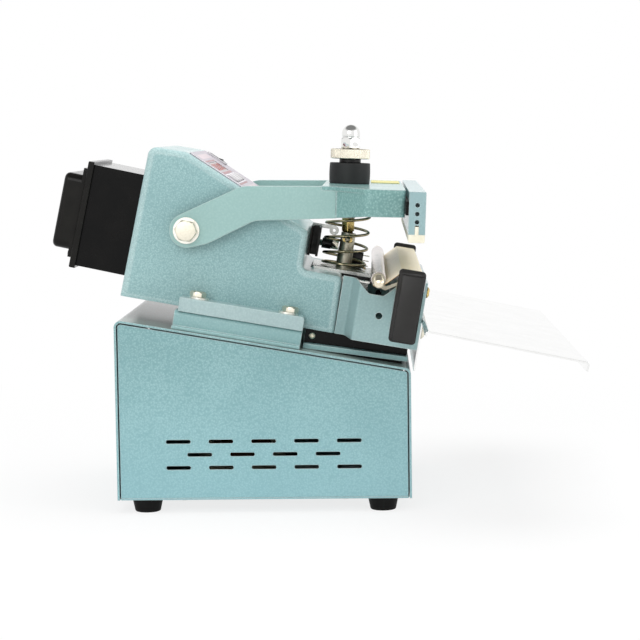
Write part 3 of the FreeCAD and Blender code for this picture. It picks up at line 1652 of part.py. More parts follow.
def magnet_frame():
    """Steel frame: a base with a fixed pole and two upright sides."""
    rear = plunger_a - magnet_length / 2
    front = plunger_a + magnet_length / 2
    half = magnet_width / 2
    low = magnet_low()
    frame = block(rear, front, -half, half, low, magnet_top_b)
    frame = frame.cut(block(rear - 1, front + 1, -half + magnet_wall, half - magnet_wall,
                            low + magnet_wall, magnet_top_b + 1))
    plunger_foot = seal_b + pin_b - fork_depth - plunger_length
    pole = plunger_bore(plunger_radius, low + magnet_wall, plunger_foot - pole_gap)
    return frame.fuse(pole).removeSplitter()


def magnet_coil():
    low = magnet_low() + magnet_wall + seat_gap
    inner = plunger_radius + free_gap
    half = inner + coil_wall + coil_depth
    outline = rectangle(plunger_a - half, plunger_a + half, -half - 4, half + 4, 8.0)
    coil = pad(outline, low, magnet_top_b - seat_gap)
    return coil.cut(plunger_bore(inner, low - 1, magnet_top_b + 1))


def yoke_layer(low, thickness, inset, bore):
    reach = magnet_length / 2 + yoke_overhang - inset
    half = magnet_width / 2 + yoke_overhang - inset
    points = rectangle(plunger_a - reach, plunger_a + reach, -half, half, 2.0)
    plate = pad(points, low, low + thickness)
    return plate.cut(plunger_bore(bore, low - 1, low + thickness + 1))


def yoke_plates():
    guide = plunger_radius + running_gap
    upper = magnet_top_b + yoke_plate + yoke_spacer
    return Part.makeCompound([yoke_layer(magnet_top_b, yoke_plate, 0, guide),
                              yoke_layer(upper, yoke_plate, 0, guide)])


def yoke_spacer_pad():
    return yoke_layer(magnet_top_b + yoke_plate, yoke_spacer, yoke_spacer_inset, plunger_radius + free_gap)


# Pieces in the open throat of the head

def throat_channel():
    """Upright channel on the head's front wall, open to the near side."""
    rear = head_throat_a
    front = rear + guide_depth
    low = ledge_b + head_bend + guide_lift
    half = guide_width / 2
    channel = block(rear, front, -half, half, low, low + guide_height)
    hollow = block(rear + guide_wall, front - guide_wall, -half - 1, half - guide_wall,
                   low - 1, low + guide_height + 1)
    return channel.cut(hollow)


def stop_stud():
    """Stud from the head's front wall with a hexagon at its end."""
    start = V(head_throat_a, stud_y, stud_b)
    stud = rod(stud_radius, start, start + FORWARD * stud_length)
    nut = stood(prism(stud_nut_flats, stud_nut), start + FORWARD * (stud_length - stud_nut), FORWARD)
    return stud.fuse(nut).removeSplitter()


def stud_sleeve():
    """Rubber sleeve on the stud, up against the hexagon."""
    end = V(head_throat_a + stud_length - stud_nut - seat_gap, stud_y, stud_b)
    start = end - FORWARD * sleeve_length
    return rod(sleeve_radius, start, end).cut(rod(stud_radius, start - FORWARD, end + FORWARD))


def anchor_plate():
    """Flat bar beside the stud with a holed round end."""
    low = stud_y - anchor_sheet
    hole_a = head_throat_a + anchor_reach
    top = anchor_b + anchor_radius
    bar_plate = block(head_throat_a, hole_a, low, stud_y, top - anchor_bar, top)
    disc = rod(anchor_radius, V(hole_a, low, anchor_b), V(hole_a, stud_y, anchor_b))
    hole = rod(anchor_hole, V(hole_a, low - 1, anchor_b), V(hole_a, stud_y + 1, anchor_b))
    return bar_plate.fuse(disc).removeSplitter().cut(hole)


def limit_switch():
    """Small switch on the yoke, with a sprung lever over it."""
    low = yoke_top_b
    switch_a = plunger_a + switch_ahead
    high = low + switch_body_height
    body = block(switch_a, switch_a + switch_length, switch_y, switch_y + switch_width, low, high)
    line = [(switch_a + switch_length - 2.0, high), (switch_a + 2.0, high + lever_rise)]
    lever = slab(folded(line, -lever_thickness), switch_y + 2.5, switch_y + switch_width - 2.5)
    post = block(switch_a + switch_length - 4.0, switch_a + switch_length - 2.0, switch_y + 2.5,
                 switch_y + switch_width - 2.5, high - 1, high + 1.2)
    return body.fuse([lever, post]).removeSplitter()


# Work shelf

def shelf():
    rear = shelf_rear_a
    shelf_front_a = rear + shelf_reach
    line = [(rear, shelf_flange_low_b), (rear, shelf_rear_b, 3.0), (shelf_front_a, shelf_front_b, 3.0),
            (shelf_front_a - 1.0, shelf_front_b - shelf_lip)]
    sheet = slab(folded(line, -shelf_sheet), -shelf_width / 2, shelf_width / 2)
    side = block(rear - 4, rear + 4, shelf_flange_width / 2, shelf_width / 2 + 1,
                 shelf_flange_low_b - 1, shelf_rear_b - shelf_sheet - 3.0)
    holes = [rod(shelf_screw_radius + seat_gap, V(rear - 5, y, shelf_screw_b), V(rear + 5, y, shelf_screw_b))
             for y in (-shelf_screw_y, shelf_screw_y)]
    return sheet.cut([side, mirrored(side)] + holes)


def shelf_screws():
    front = shelf_rear_a + shelf_sheet
    screw = pan_screw(shelf_screw_head_radius, shelf_screw_head, shelf_screw_radius,
                      front - bracket_front_a + bracket_sheet + 4.0)
    return Part.makeCompound([stood(screw, V(front, y, shelf_screw_b), FORWARD)
                              for y in (-shelf_screw_y, shelf_screw_y)])


def main():
    os.makedirs("parts", exist_ok=True)
    save("cabinet_shell", cabinet_shell())
    save("cabinet_sides", both_sides(cabinet_side()))
    save("bottom_plate", bottom_plate())
    save("rubber_feet", rubber_feet())
    save("cabinet_screws", group([foot_screws(), case_screws()]))
    save("rear_sockets", group([mains_inlet(), inlet_pins(), pedal_socket()]))
    save("transformer", group([transformer_core(), transformer_coil()]))
    save("front_plate", front_plate(), PLATE)
    save("rubber_wedge", rubber_wedge(), SLOPE)
    save("support_channel", support_channel(), SLOPE)
    save("head_rails", both_sides(head_rail()), SLOPE)
    save("head_lugs", both_sides(head_lug()), SLOPE)
    save("rail_bolts", group([rail_bolts(), rail_washers()]), SLOPE)
    save("head_sides", both_sides(head_side()), SLOPE)
    save("head_cover", head_cover(), SLOPE)
    save("control_panel", control_panel(), PANEL)
    save("display_window", display_window(), PANEL)
    for i in range(button_count):
        save("push_button_%d" % (i + 1), push_button(i), PANEL)
    save("control_board", group([control_board(), board_posts(), button_switches(), display_module()]), PANEL)
    save("rocker_frame", rocker_frame(), PANEL)
    save("rocker", rocker(), PANEL)
    save("rear_box", rear_box(), BACK)
    save("rear_lid", rear_lid(), BACK)
    save("rear_hood", rear_hood(), BACK)
    save("housing_screws", group([in_slope(hood_screws(), BACK), channel_screws()]), SLOPE)
    save("lower_bracket", lower_bracket(), SLOPE)
    save("lower_jaw", lower_jaw(), SLOPE)
    save("front_screws", group([jaw_terminals(), shelf_screws()]), SLOPE)
    save("heating_band", group([band_bed_strip(), heating_band()]), SLOPE)
    save("jaw_caps", both_sides(jaw_cap()), SLOPE)
    save("ptfe_cloth", ptfe_cloth(), SLOPE)
    save("cloth_clamp", cloth_clamp(), SLOPE)
    save("cloth_roller", cloth_roller(), SLOPE)
    save("roller_rod", group([roller_rod(), roller_hanger(), mirrored(roller_hanger())]), SLOPE)
    save("pivot_bolts", group([pivot_bolts(), pivot_washers()]), SLOPE)
    save("magnet_frame", magnet_frame(), SLOPE)
    save("magnet_coil", magnet_coil(), SLOPE)
    save("yoke_stack", group([yoke_plates(), yoke_spacer_pad()]), SLOPE)
    save("throat_fittings", group([throat_channel(), stop_stud(), stud_sleeve(), anchor_plate()]), SLOPE)
    save("limit_switch", limit_switch(), SLOPE)
    save("shelf", shelf(), SLOPE)
    save("return_spring", return_spring(), SLOPE)
    save("plunger", plunger(), SLOPE)
    save("arm_sides", both_sides(arm_side()), ARM)
    save("pivot_bushes", both_sides(pivot_bush()), ARM)
    save("press_beam", press_beam(), ARM)
    save("label_plate", label_plate(), ARM)
    save("upper_jaw", upper_jaw(), ARM)
    save("sealing_strip", sealing_strip(), ARM)
    save("jaw_spacer", jaw_spacer(), ARM)
    save("jaw_screws", jaw_screws(), ARM)
    save("pressure_rod", pressure_rod(), ARM)
    save("rubber_bush", rubber_bush(), ARM)
    save("knurled_nut", knurled_nut(), ARM)
    save("acorn_nut", group([acorn_nut(), bush_collar()]), ARM)
    save("rod_clevis", group([rod_end(), fork_pin()]), ARM)


main()
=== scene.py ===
# %% [markdown]
# # A tabletop bag sealer
#
# The machine is a sheet-metal cabinet with a sloping head on it. A hinged arm
# carries the upper jaw, and a magnet in the head's open throat pulls it down.
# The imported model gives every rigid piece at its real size. This script gives
# those pieces their finishes and makes the ones that need softer or finer shapes.

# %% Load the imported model
import json
import math
import bmesh
import bpy
from mathutils import Matrix, Vector


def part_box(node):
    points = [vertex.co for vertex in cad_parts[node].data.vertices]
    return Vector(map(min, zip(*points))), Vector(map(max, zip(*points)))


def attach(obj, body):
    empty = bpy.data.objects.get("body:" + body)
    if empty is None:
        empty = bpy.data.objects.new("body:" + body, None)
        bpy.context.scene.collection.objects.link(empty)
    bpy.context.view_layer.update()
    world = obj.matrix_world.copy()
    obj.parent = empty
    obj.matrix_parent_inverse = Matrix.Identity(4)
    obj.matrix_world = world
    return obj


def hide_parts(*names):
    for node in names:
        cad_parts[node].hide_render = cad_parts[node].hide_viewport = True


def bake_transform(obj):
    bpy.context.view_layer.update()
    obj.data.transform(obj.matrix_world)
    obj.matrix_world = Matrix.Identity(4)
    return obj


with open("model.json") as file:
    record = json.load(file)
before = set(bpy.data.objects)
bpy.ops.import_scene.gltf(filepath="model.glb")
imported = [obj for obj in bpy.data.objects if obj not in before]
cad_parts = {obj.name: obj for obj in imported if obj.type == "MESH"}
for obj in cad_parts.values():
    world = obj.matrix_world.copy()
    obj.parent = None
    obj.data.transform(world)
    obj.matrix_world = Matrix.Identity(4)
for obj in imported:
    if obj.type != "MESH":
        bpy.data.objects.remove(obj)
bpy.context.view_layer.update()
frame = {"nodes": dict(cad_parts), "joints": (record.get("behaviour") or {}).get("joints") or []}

MM = 0.001
ACROSS = Vector((0, 1, 0))

# %% [markdown]
# ## Directions and places
#
# The head, the jaws and the arm all lean, so a place is easiest to say in a
# frame that leans with them. The joints already hold those directions: the
# plunger slides square to the slope, the pressure nut turns about the arm's own
# upright, and a button is pressed square to the panel. Reading them here means
# that nothing has to be fitted by hand.

# %% Leaning frames, read from the joints
joints = {joint["name"]: joint for joint in frame["joints"]}


def leaning_frame(origin, up):
    """Matrix of a frame whose z axis is a leaning upright and whose y axis runs across."""
    up = Vector(up).normalized()
    along = ACROSS.cross(up)
    axes = Matrix((along, ACROSS, up)).transposed().to_4x4()
    return Matrix.Translation(Vector(origin)) @ axes


pivot = joints["arm_hinge"]["pos_m"]
slope_up = -Vector(joints["plunger_slide"]["axis"])
arm_up = Vector(joints["pressure_nut_turn"]["axis"])
panel_up = -Vector(joints["button_1_press"]["axis"])
SLOPE = leaning_frame(pivot, slope_up)
ARM = leaning_frame(pivot, arm_up)
print("slope leans %.1f deg" % math.degrees(math.atan2(slope_up.x, slope_up.z)))
print("arm leans %.1f deg" % math.degrees(math.atan2(arm_up.x, arm_up.z)))


def corners_of(places):
    """Lowest and highest corner of the box round some points."""
    low = Vector(min(place[i] for place in places) for i in range(3))
    high = Vector(max(place[i] for place in places) for i in range(3))
    return low, high


def reach(node, leaning):
    """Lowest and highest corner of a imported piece, measured in a leaning frame."""
    inverse = leaning.inverted()
    return corners_of([inverse @ vertex.co for vertex in frame["nodes"][node].data.vertices])


panel_low, panel_high = reach("control_panel", leaning_frame(pivot, panel_up))
PANEL = leaning_frame(pivot, panel_up) @ Matrix.Translation((panel_low.x, 0, panel_high.z))
print("panel overlay is %.0f mm down its face" % ((panel_high.x - panel_low.x) / MM))

# %% [markdown]
# ## Camera
#
# The photograph was taken from the machine's side, two metres away and a little
# above the work shelf, with a long lens. A long lens from far away keeps the
# sides nearly square, and the small turn, tilt and roll are the photographer's.

# %% Camera
CAMERA_PLACE = (0.0593, -1.912, 0.343)
CAMERA_TURN = 1.556
CAMERA_TILT = 5.406
CAMERA_ROLL = -0.777
LENS = 112.5
SENSOR = 36.0

camera_data = bpy.data.cameras.new("camera")
camera_data.lens = LENS
camera_data.sensor_width = SENSOR
camera = bpy.data.objects.new("camera", camera_data)
bpy.context.scene.collection.objects.link(camera)
turn = Matrix.Rotation(math.radians(CAMERA_TURN), 4, "Z")
tilt = Matrix.Rotation(math.radians(90 - CAMERA_TILT), 4, "X")
roll = Matrix.Rotation(math.radians(CAMERA_ROLL), 4, "Z")
camera.matrix_world = Matrix.Translation(CAMERA_PLACE) @ turn @ tilt @ roll
bpy.context.scene.camera = camera
print("camera", tuple(round(place, 3) for place in camera.location), "lens", LENS)

# %% [markdown]
# ## Colours and nodes
#
# Colours are written as the sRGB hex values that one reads off a screen, and one
# function turns them to the linear values that shaders work in. One more
# function adds a node with its settings and its links, which keeps each
# material short enough to read in one go.


# %% Colour and node helpers
def linear(code):
    """sRGB hex colour as linear red, green, blue and alpha."""
    channels = [int(code[i:i + 2], 16) / 255 for i in (1, 3, 5)]
    return [c / 12.92 if c <= 0.04045 else ((c + 0.055) / 1.055) ** 2.4 for c in channels] + [1.0]


def feed(tree, node, inputs):
    """Links the inputs that are given a socket and sets the others."""
    for name, value in inputs.items():
        if isinstance(value, bpy.types.NodeSocket):
            tree.links.new(value, node.inputs[name])
        else:
            node.inputs[name].default_value = value


def add_node(tree, kind, inputs=None, **settings):
    """One node with its settings and its inputs."""
    made = tree.nodes.new(kind)
    for name, value in settings.items():
        setattr(made, name, value)
    feed(tree, made, inputs or {})
    return made


# A colour mix node has its factor, first colour, second colour and result here
FACTOR, FIRST, SECOND, MIXED = 0, 6, 7, 2


def new_material(name):
    """A material with its node tree and its one Principled shader."""
    material = bpy.data.materials.new(name)
    material.use_nodes = True
    return material, material.node_tree, material.node_tree.nodes["Principled BSDF"]


print("mid teal in linear light:", [round(channel, 3) for channel in linear("#93b6b8")])

# %% [markdown]
# ## Studio
#
# The photograph is a cut-out on white. A world that is plain white to the camera
# gives that background without putting more light on the machine. Glossy rays
# see white at the horizon and a darker ceiling, so that plated parts show an
# upper and a lower tone. A floor keeps the soft shadow of the feet.

# %% World
SKY_FILL = 0.44
CEILING_TONE = 0.26
# How high a direction points, from 0 when level to 1 when upright
CEILING_STARTS, CEILING_FULL = 0.52, 0.80

world = bpy.data.worlds.new("studio")
bpy.context.scene.world = world
world.use_nodes = True
tree = world.node_tree
tree.nodes.clear()
paths = add_node(tree, "ShaderNodeLightPath")
direction = add_node(tree, "ShaderNodeTexCoord").outputs["Generated"]
height = add_node(tree, "ShaderNodeSeparateXYZ", {"Vector": direction}).outputs["Z"]
ceiling = add_node(tree, "ShaderNodeMapRange",
                   {"Value": height, "From Min": CEILING_STARTS, "From Max": CEILING_FULL,
                    "To Min": 1.0, "To Max": CEILING_TONE},
                   interpolation_type="SMOOTHSTEP").outputs["Result"]
seen = add_node(tree, "ShaderNodeMath",
                {0: paths.outputs["Is Glossy Ray"], 1: paths.outputs["Is Transmission Ray"]},
                operation="MAXIMUM").outputs["Value"]
fill = add_node(tree, "ShaderNodeMix", {0: seen, 2: SKY_FILL, 3: ceiling}).outputs[0]
strength = add_node(tree, "ShaderNodeMix", {0: paths.outputs["Is Camera Ray"], 2: fill, 3: 1.0}).outputs[0]
background = add_node(tree, "ShaderNodeBackground", {"Color": (1, 1, 1, 1), "Strength": strength})
add_node(tree, "ShaderNodeOutputWorld", {"Surface": background.outputs["Background"]})
print("world fill", SKY_FILL)

# %% [markdown]
# ## Floor
#
# The floor is matt and pale. The camera and the plated parts see it part matt, so
# that it keeps the machine's shadow, and part plain white. The white share grows
# away from the machine, which leaves no line where the floor meets the background.

# %% Floor
FLOOR_SIZE = 8.0
FLOOR_GLOW = 0.8
GLOW_GROWS, GLOW_FULL = 0.25, 0.9

floor_mesh = bpy.data.meshes.new("floor")
half = FLOOR_SIZE / 2
corners = [(-half, -half, 0), (half, -half, 0), (half, half, 0), (-half, half, 0)]
floor_mesh.from_pydata(corners, [], [(0, 1, 2, 3)])
floor = bpy.data.objects.new("floor", floor_mesh)
bpy.context.scene.collection.objects.link(floor)
material, tree, shader = new_material("pale_studio_floor")
paths = add_node(tree, "ShaderNodeLightPath")
where = add_node(tree, "ShaderNodeTexCoord").outputs["Object"]
away = add_node(tree, "ShaderNodeVectorMath", {0: where}, operation="LENGTH").outputs["Value"]
glow_share = add_node(tree, "ShaderNodeMapRange",
                      {"Value": away, "From Min": GLOW_GROWS, "From Max": GLOW_FULL,
                       "To Min": FLOOR_GLOW, "To Max": 1.0},
                      interpolation_type="SMOOTHSTEP").outputs["Result"]
matt = add_node(tree, "ShaderNodeBsdfDiffuse", {"Color": linear("#f2f2f2")})
glow = add_node(tree, "ShaderNodeEmission", {"Color": (1, 1, 1, 1), "Strength": 1.0})
both = add_node(tree, "ShaderNodeMixShader", {0: glow_share, 1: matt.outputs[0], 2: glow.outputs[0]})
not_lit = add_node(tree, "ShaderNodeMath",
                   {0: paths.outputs["Is Camera Ray"], 1: paths.outputs["Is Glossy Ray"]},
                   operation="MAXIMUM").outputs["Value"]
surface = add_node(tree, "ShaderNodeMixShader", {0: not_lit, 1: matt.outputs[0], 2: both.outputs[0]})
tree.links.new(surface.outputs[0], tree.nodes["Material Output"].inputs["Surface"])
tree.nodes.remove(shader)
floor_mesh.materials.append(material)
print("floor %.0f m wide" % FLOOR_SIZE)

# %% [markdown]
# ## Lamps
#
# Three large lamps light the machine softly: one overhead, one beside the camera
# and a weaker one in front. Their power is set so that a middle grey renders about
# as it is written. Plated parts mirror the overhead lamp as a hot spot, so it is
# hidden from glossy rays.


# %% Lamps
def soft_lamp(name, place, target, size, power):
    """A square lamp that faces a point, as a softbox does."""
    data = bpy.data.lights.new(name, "AREA")
    data.shape = "RECTANGLE"
    data.size, data.size_y = size
    data.energy = power
    lamp = bpy.data.objects.new(name, data)
    bpy.context.scene.collection.objects.link(lamp)
    facing = (Vector(target) - Vector(place)).to_track_quat("-Z", "Y")
    lamp.matrix_world = Matrix.Translation(place) @ facing.to_matrix().to_4x4()
    return lamp


MACHINE_MIDDLE = (0.0, 0.0, 0.18)
overhead = soft_lamp("overhead_softbox", (0.1, 0.0, 1.9), MACHINE_MIDDLE, (2.2, 1.6), 30.0)
overhead.visible_glossy = False
soft_lamp("near_softbox", (-0.9, -2.4, 1.2), MACHINE_MIDDLE, (1.8, 1.4), 24.0)
soft_lamp("front_softbox", (2.1, -0.9, 0.9), MACHINE_MIDDLE, (1.4, 1.4), 10.0)
bpy.context.scene.view_settings.view_transform = "Standard"

# %% [markdown]
# ## Hammer-finish enamel
#
# The cabinet, the head and the arm wear a stoved enamel with aluminium flake in
# it. While it dries it draws together into cells of about two millimetres, pale
# in the middle and darker where they meet. A Voronoi texture has just that
# layout. Sheet metal has no sharp edge either: a Bevel node rounds the normals
# near an edge, and comparing the rounded normal with the true one also tells
# where the edge is, so that a paler painted highlight can be laid on there.


# %% Cells of the enamel
def flake_cells(tree, where, cell):
    """Sockets of the paint's cells, its fine noise and its broad noise; cell is in millimetres."""
    size = cell * MM
    drift = add_node(tree, "ShaderNodeTexNoise", {"Vector": where, "Scale": 1 / (4 * size), "Detail": 2.0})
    bent = add_node(tree, "ShaderNodeVectorMath",
                    {0: drift.outputs["Color"], 1: (1.6 * size,) * 3, 2: where}, operation="MULTIPLY_ADD")
    cells = add_node(tree, "ShaderNodeTexVoronoi", {"Vector": bent.outputs["Vector"], "Scale": 1 / size})
    fine = add_node(tree, "ShaderNodeTexNoise", {"Vector": where, "Scale": 1 / (0.8 * size), "Detail": 3.0})
    broad = add_node(tree, "ShaderNodeTexNoise", {"Vector": where, "Scale": 1 / (60 * MM), "Detail": 1.0})
    dome = add_node(tree, "ShaderNodeMapRange", {"Value": cells.outputs["Distance"], "From Min": 0.1,
                                                 "From Max": 0.75, "To Min": 1.0, "To Max": 0.0})
    speck = add_node(tree, "ShaderNodeMath", {0: dome.outputs["Result"], 1: fine.outputs["Fac"]},
                     operation="MULTIPLY")
    return speck.outputs["Value"], fine.outputs["Fac"], broad.outputs["Fac"]


def flake_colour(tree, speck, broad, deep, pale):
    """Colour of the cells, a little lighter and darker in broad patches."""
    tone = add_node(tree, "ShaderNodeMapRange", {"Value": speck, "From Min": 0.0, "From Max": 0.62})
    shade = add_node(tree, "ShaderNodeMapRange", {"Value": broad, "From Min": 0.3, "From Max": 0.7,
                                                  "To Min": -0.15, "To Max": 0.15})
    toned = add_node(tree, "ShaderNodeMath", {0: tone.outputs["Result"], 1: shade.outputs["Result"]},
                     operation="ADD", use_clamp=True)
    flake = add_node(tree, "ShaderNodeMix",
                     {FACTOR: toned.outputs["Value"], FIRST: linear(deep), SECOND: linear(pale)},
                     data_type="RGBA")
    return flake.outputs[MIXED]


print("cell helpers ready")

# %% [markdown]
# ## Painted light and dust on the enamel
#
# Near the table the paint is painted paler and bluer, as the lit floor's reflection;
# faces that look up get a patchy browner tone, partly dust and partly painted
# reflection of the dark parts above; a fold gets a thin broken painted highlight.
# Each is a layer that takes the colour so far and gives the colour with the layer on it.

# %% Layers on the enamel
FLOOR_BOUNCE_TINT, FLOOR_BOUNCE_TOP, FLOOR_BOUNCE_FULL = "#9fd0da", 0.15, 0.01
DUST_AND_REFLECTION, DUST_AND_REFLECTION_STARTS, DUST_AND_REFLECTION_FULL = "#94887b", 0.85, 0.97
FOLD_HIGHLIGHT = "#e2f0ee"
# How far the rounded normal has turned from the true one, as a cosine
LINE_STARTS, LINE_FULL, LINE_FADES, LINE_GONE = 0.9999, 0.998, 0.997, 0.985


def with_painted_floor_bounce(tree, where, colour, amount):
    """Colour with painted floor-bounce light near the table: paler and bluer low down."""
    height = add_node(tree, "ShaderNodeSeparateXYZ", {"Vector": where}).outputs["Z"]
    low_down = add_node(tree, "ShaderNodeMapRange", {"Value": height, "From Min": FLOOR_BOUNCE_TOP,
                                                     "From Max": FLOOR_BOUNCE_FULL, "To Max": amount})
    bounce_lit = add_node(tree, "ShaderNodeMix", {FACTOR: low_down.outputs["Result"], FIRST: colour,
                                              SECOND: linear(FLOOR_BOUNCE_TINT)}, data_type="RGBA")
    return bounce_lit.outputs[MIXED]


def with_dust_and_top_reflection(tree, normal, fine, colour, amount):
    """Colour with a patchy browner tone on the faces that look up, partly dust and partly a painted reflection
    of the dark parts above.
    """
    upward = add_node(tree, "ShaderNodeSeparateXYZ", {"Vector": normal}).outputs["Z"]
    looks_up = add_node(tree, "ShaderNodeMapRange", {"Value": upward, "From Min": DUST_AND_REFLECTION_STARTS,
                                                    "From Max": DUST_AND_REFLECTION_FULL})
    patchy = add_node(tree, "ShaderNodeMath", {0: looks_up.outputs["Result"], 1: fine}, operation="MULTIPLY")
    share = add_node(tree, "ShaderNodeMath", {0: patchy.outputs["Value"], 1: 2 * amount},
                     operation="MULTIPLY", use_clamp=True)
    dust_and_reflection_mix = add_node(tree, "ShaderNodeMix", {FACTOR: share.outputs["Value"], FIRST: colour,
                                              SECOND: linear(DUST_AND_REFLECTION)}, data_type="RGBA")
    return dust_and_reflection_mix.outputs[MIXED]


def with_painted_fold_highlight(tree, normal, fine, colour, fold):
    """Colour with a thin broken painted highlight inside each fold; fold is in millimetres."""
    rolled = add_node(tree, "ShaderNodeBevel", {"Radius": fold * MM}, samples=8)
    near_fold = add_node(tree, "ShaderNodeVectorMath", {0: rolled.outputs["Normal"], 1: normal},
                         operation="DOT_PRODUCT").outputs["Value"]
    onset = add_node(tree, "ShaderNodeMapRange", {"Value": near_fold, "From Min": LINE_STARTS,
                                                  "From Max": LINE_FULL})
    past = add_node(tree, "ShaderNodeMapRange", {"Value": near_fold, "From Min": LINE_FADES,
                                                 "From Max": LINE_GONE, "To Min": 1.0, "To Max": 0.15})
    line = add_node(tree, "ShaderNodeMath", {0: onset.outputs["Result"], 1: past.outputs["Result"]},
                    operation="MULTIPLY")
    broken = add_node(tree, "ShaderNodeMath", {0: line.outputs["Value"], 1: fine}, operation="MULTIPLY")
    fold_lit = add_node(tree, "ShaderNodeMix", {FACTOR: broken.outputs["Value"], FIRST: colour,
                                              SECOND: linear(FOLD_HIGHLIGHT)}, data_type="RGBA")
    return fold_lit.outputs[MIXED]


print("layers: foot tint, dust, fold line")

# %% [markdown]
# ## The enamels
#
# The cabinet and the head wear the full hammer finish. The arm, the bracket, the
# rails and the upper jaw were sprayed thinner, so their cells are flat and faint.
# Every one is paler at its rounded edges, which is a painted highlight.

# %% Painted sheet metal
EDGE_HIGHLIGHT = "#d6e4e2"
EDGE_ROUND = 1.2 * MM
CELL_RELIEF = 0.08 * MM


def hammer_enamel(name, deep, pale, cell=2.0, relief=1.0, edge_highlight=0.6, fold=0.0, dust=0.0, floor_bounce=0.0):
    """Hammer-finish stove enamel on sheet metal; cell and fold are in millimetres."""
    material, tree, shader = new_material(name)
    where = add_node(tree, "ShaderNodeTexCoord").outputs["Object"]
    speck, fine, broad = flake_cells(tree, where, cell)
    colour = flake_colour(tree, speck, broad, deep, pale)
    true_normal = add_node(tree, "ShaderNodeNewGeometry").outputs["Normal"]
    # Painted floor-bounce light: paler and bluer low down
    if floor_bounce:
        colour = with_painted_floor_bounce(tree, where, colour, floor_bounce)
    # Patchy browner tone on upward faces: partly dust, partly painted reflection
    if dust:
        colour = with_dust_and_top_reflection(tree, true_normal, fine, colour, dust)
    # Painted highlight: a thin broken light line inside each fold
    if fold:
        colour = with_painted_fold_highlight(tree, true_normal, fine, colour, fold)
    round_edge = add_node(tree, "ShaderNodeBevel", {"Radius": EDGE_ROUND}, samples=6).outputs["Normal"]
    level = add_node(tree, "ShaderNodeVectorMath", {0: round_edge, 1: true_normal}, operation="DOT_PRODUCT")
    # Painted highlight: paler paint near every rounded edge
    edge = add_node(tree, "ShaderNodeMapRange", {"Value": level.outputs["Value"], "From Min": 0.99,
                                                 "From Max": 0.85, "To Max": edge_highlight})
    edge_lit = add_node(tree, "ShaderNodeMix", {FACTOR: edge.outputs["Result"], FIRST: colour,
                                            SECOND: linear(EDGE_HIGHLIGHT)}, data_type="RGBA")
    bump = add_node(tree, "ShaderNodeBump", {"Height": speck, "Normal": round_edge,
                                             "Distance": CELL_RELIEF * relief, "Strength": 0.6})
    rough = add_node(tree, "ShaderNodeMapRange", {"Value": fine, "To Min": 0.34, "To Max": 0.50})
    feed(tree, shader, {"Base Color": edge_lit.outputs[MIXED], "Roughness": rough.outputs["Result"],
                        "Normal": bump.outputs["Normal"], "IOR": 1.5, "Specular IOR Level": 0.25,
                        "Coat Weight": 0.7, "Coat Roughness": 0.12, "Coat IOR": 1.35,
                        "Coat Normal": round_edge})
    return material


# Stoved hammer enamel: teal cells that sparkle; patchy browner on top, partly dust and partly painted
# reflection; painted floor-bounce light, paler and bluer, near the table
cabinet_enamel = hammer_enamel("cabinet_hammer_enamel", "#7ba4a7", "#9cc2c3",
                               cell=1.7, dust=0.55, floor_bounce=0.45)
# The same enamel on folded sheet: finer cells and a painted highlight along each fold
head_enamel = hammer_enamel("head_hammer_enamel", "#87acae", "#a7caca", cell=1.5, fold=5.5)
# Thin sprayed enamel: an even, greener teal
arm_enamel = hammer_enamel("arm_enamel", "#97bab6", "#9fc1bd", relief=0.2)
# Thick hammer enamel: the coarsest, greenest cells on the machine
beam_enamel = hammer_enamel("beam_hammer_enamel", "#75a09d", "#a2c8c5")
# Thin enamel over bent sheet: greyer, with strong painted edge highlights
bracket_enamel = hammer_enamel("bracket_enamel", "#90adae", "#9ab8b8", relief=0.3, edge_highlight=1.0)
# Thin enamel over bar: plain teal, with strong painted edge highlights
rail_enamel = hammer_enamel("rail_enamel", "#8cb2b3", "#9bbfbf", relief=0.3, edge_highlight=0.9)
# Rail enamel with less pigment: the palest of the painted bars
lug_enamel = hammer_enamel("lug_enamel", "#a2babb", "#b0c6c6", relief=0.3)
# Enamel on an extruded bar: almost smooth and a little bluer
jaw_enamel = hammer_enamel("jaw_enamel", "#93b1b4", "#99b7ba", relief=0.15)
print("enamels:", [material.name for material in bpy.data.materials if "enamel" in material.name])

# %% [markdown]
# ## Metals
#
# Plated steel, stainless sheet and turned brass are all metals, told apart by
# their colour, by how rough they are and by the marks of how they were made:
# a rolled sheet has long lines, a turned part has rings, plating is cloudy.


# %% Metal finishes
def plated_metal(name, colour, cloud, rough, scale=3.0):
    """Electroplated steel: cloudy in colour and in gloss, with soft edges."""
    material, tree, shader = new_material(name)
    where = add_node(tree, "ShaderNodeTexCoord").outputs["Object"]
    patch = add_node(tree, "ShaderNodeTexNoise", {"Vector": where, "Scale": 1 / (scale * MM), "Detail": 4.0})
    colour_mix = add_node(tree, "ShaderNodeMix",
                          {FACTOR: patch.outputs["Fac"], FIRST: linear(colour), SECOND: linear(cloud)},
                          data_type="RGBA")
    gloss = add_node(tree, "ShaderNodeMapRange",
                     {"Value": patch.outputs["Fac"], "From Min": 0.3, "From Max": 0.7,
                      "To Min": rough * 0.8, "To Max": rough * 1.3})
    round_edge = add_node(tree, "ShaderNodeBevel", {"Radius": 0.5 * MM}, samples=6)
    bump = add_node(tree, "ShaderNodeBump", {"Height": patch.outputs["Fac"], "Distance": 0.02 * MM,
                                             "Strength": 0.5, "Normal": round_edge.outputs["Normal"]})
    feed(tree, shader, {"Base Color": colour_mix.outputs[MIXED], "Roughness": gloss.outputs["Result"],
                        "Metallic": 1.0, "Normal": bump.outputs["Normal"]})
    return material


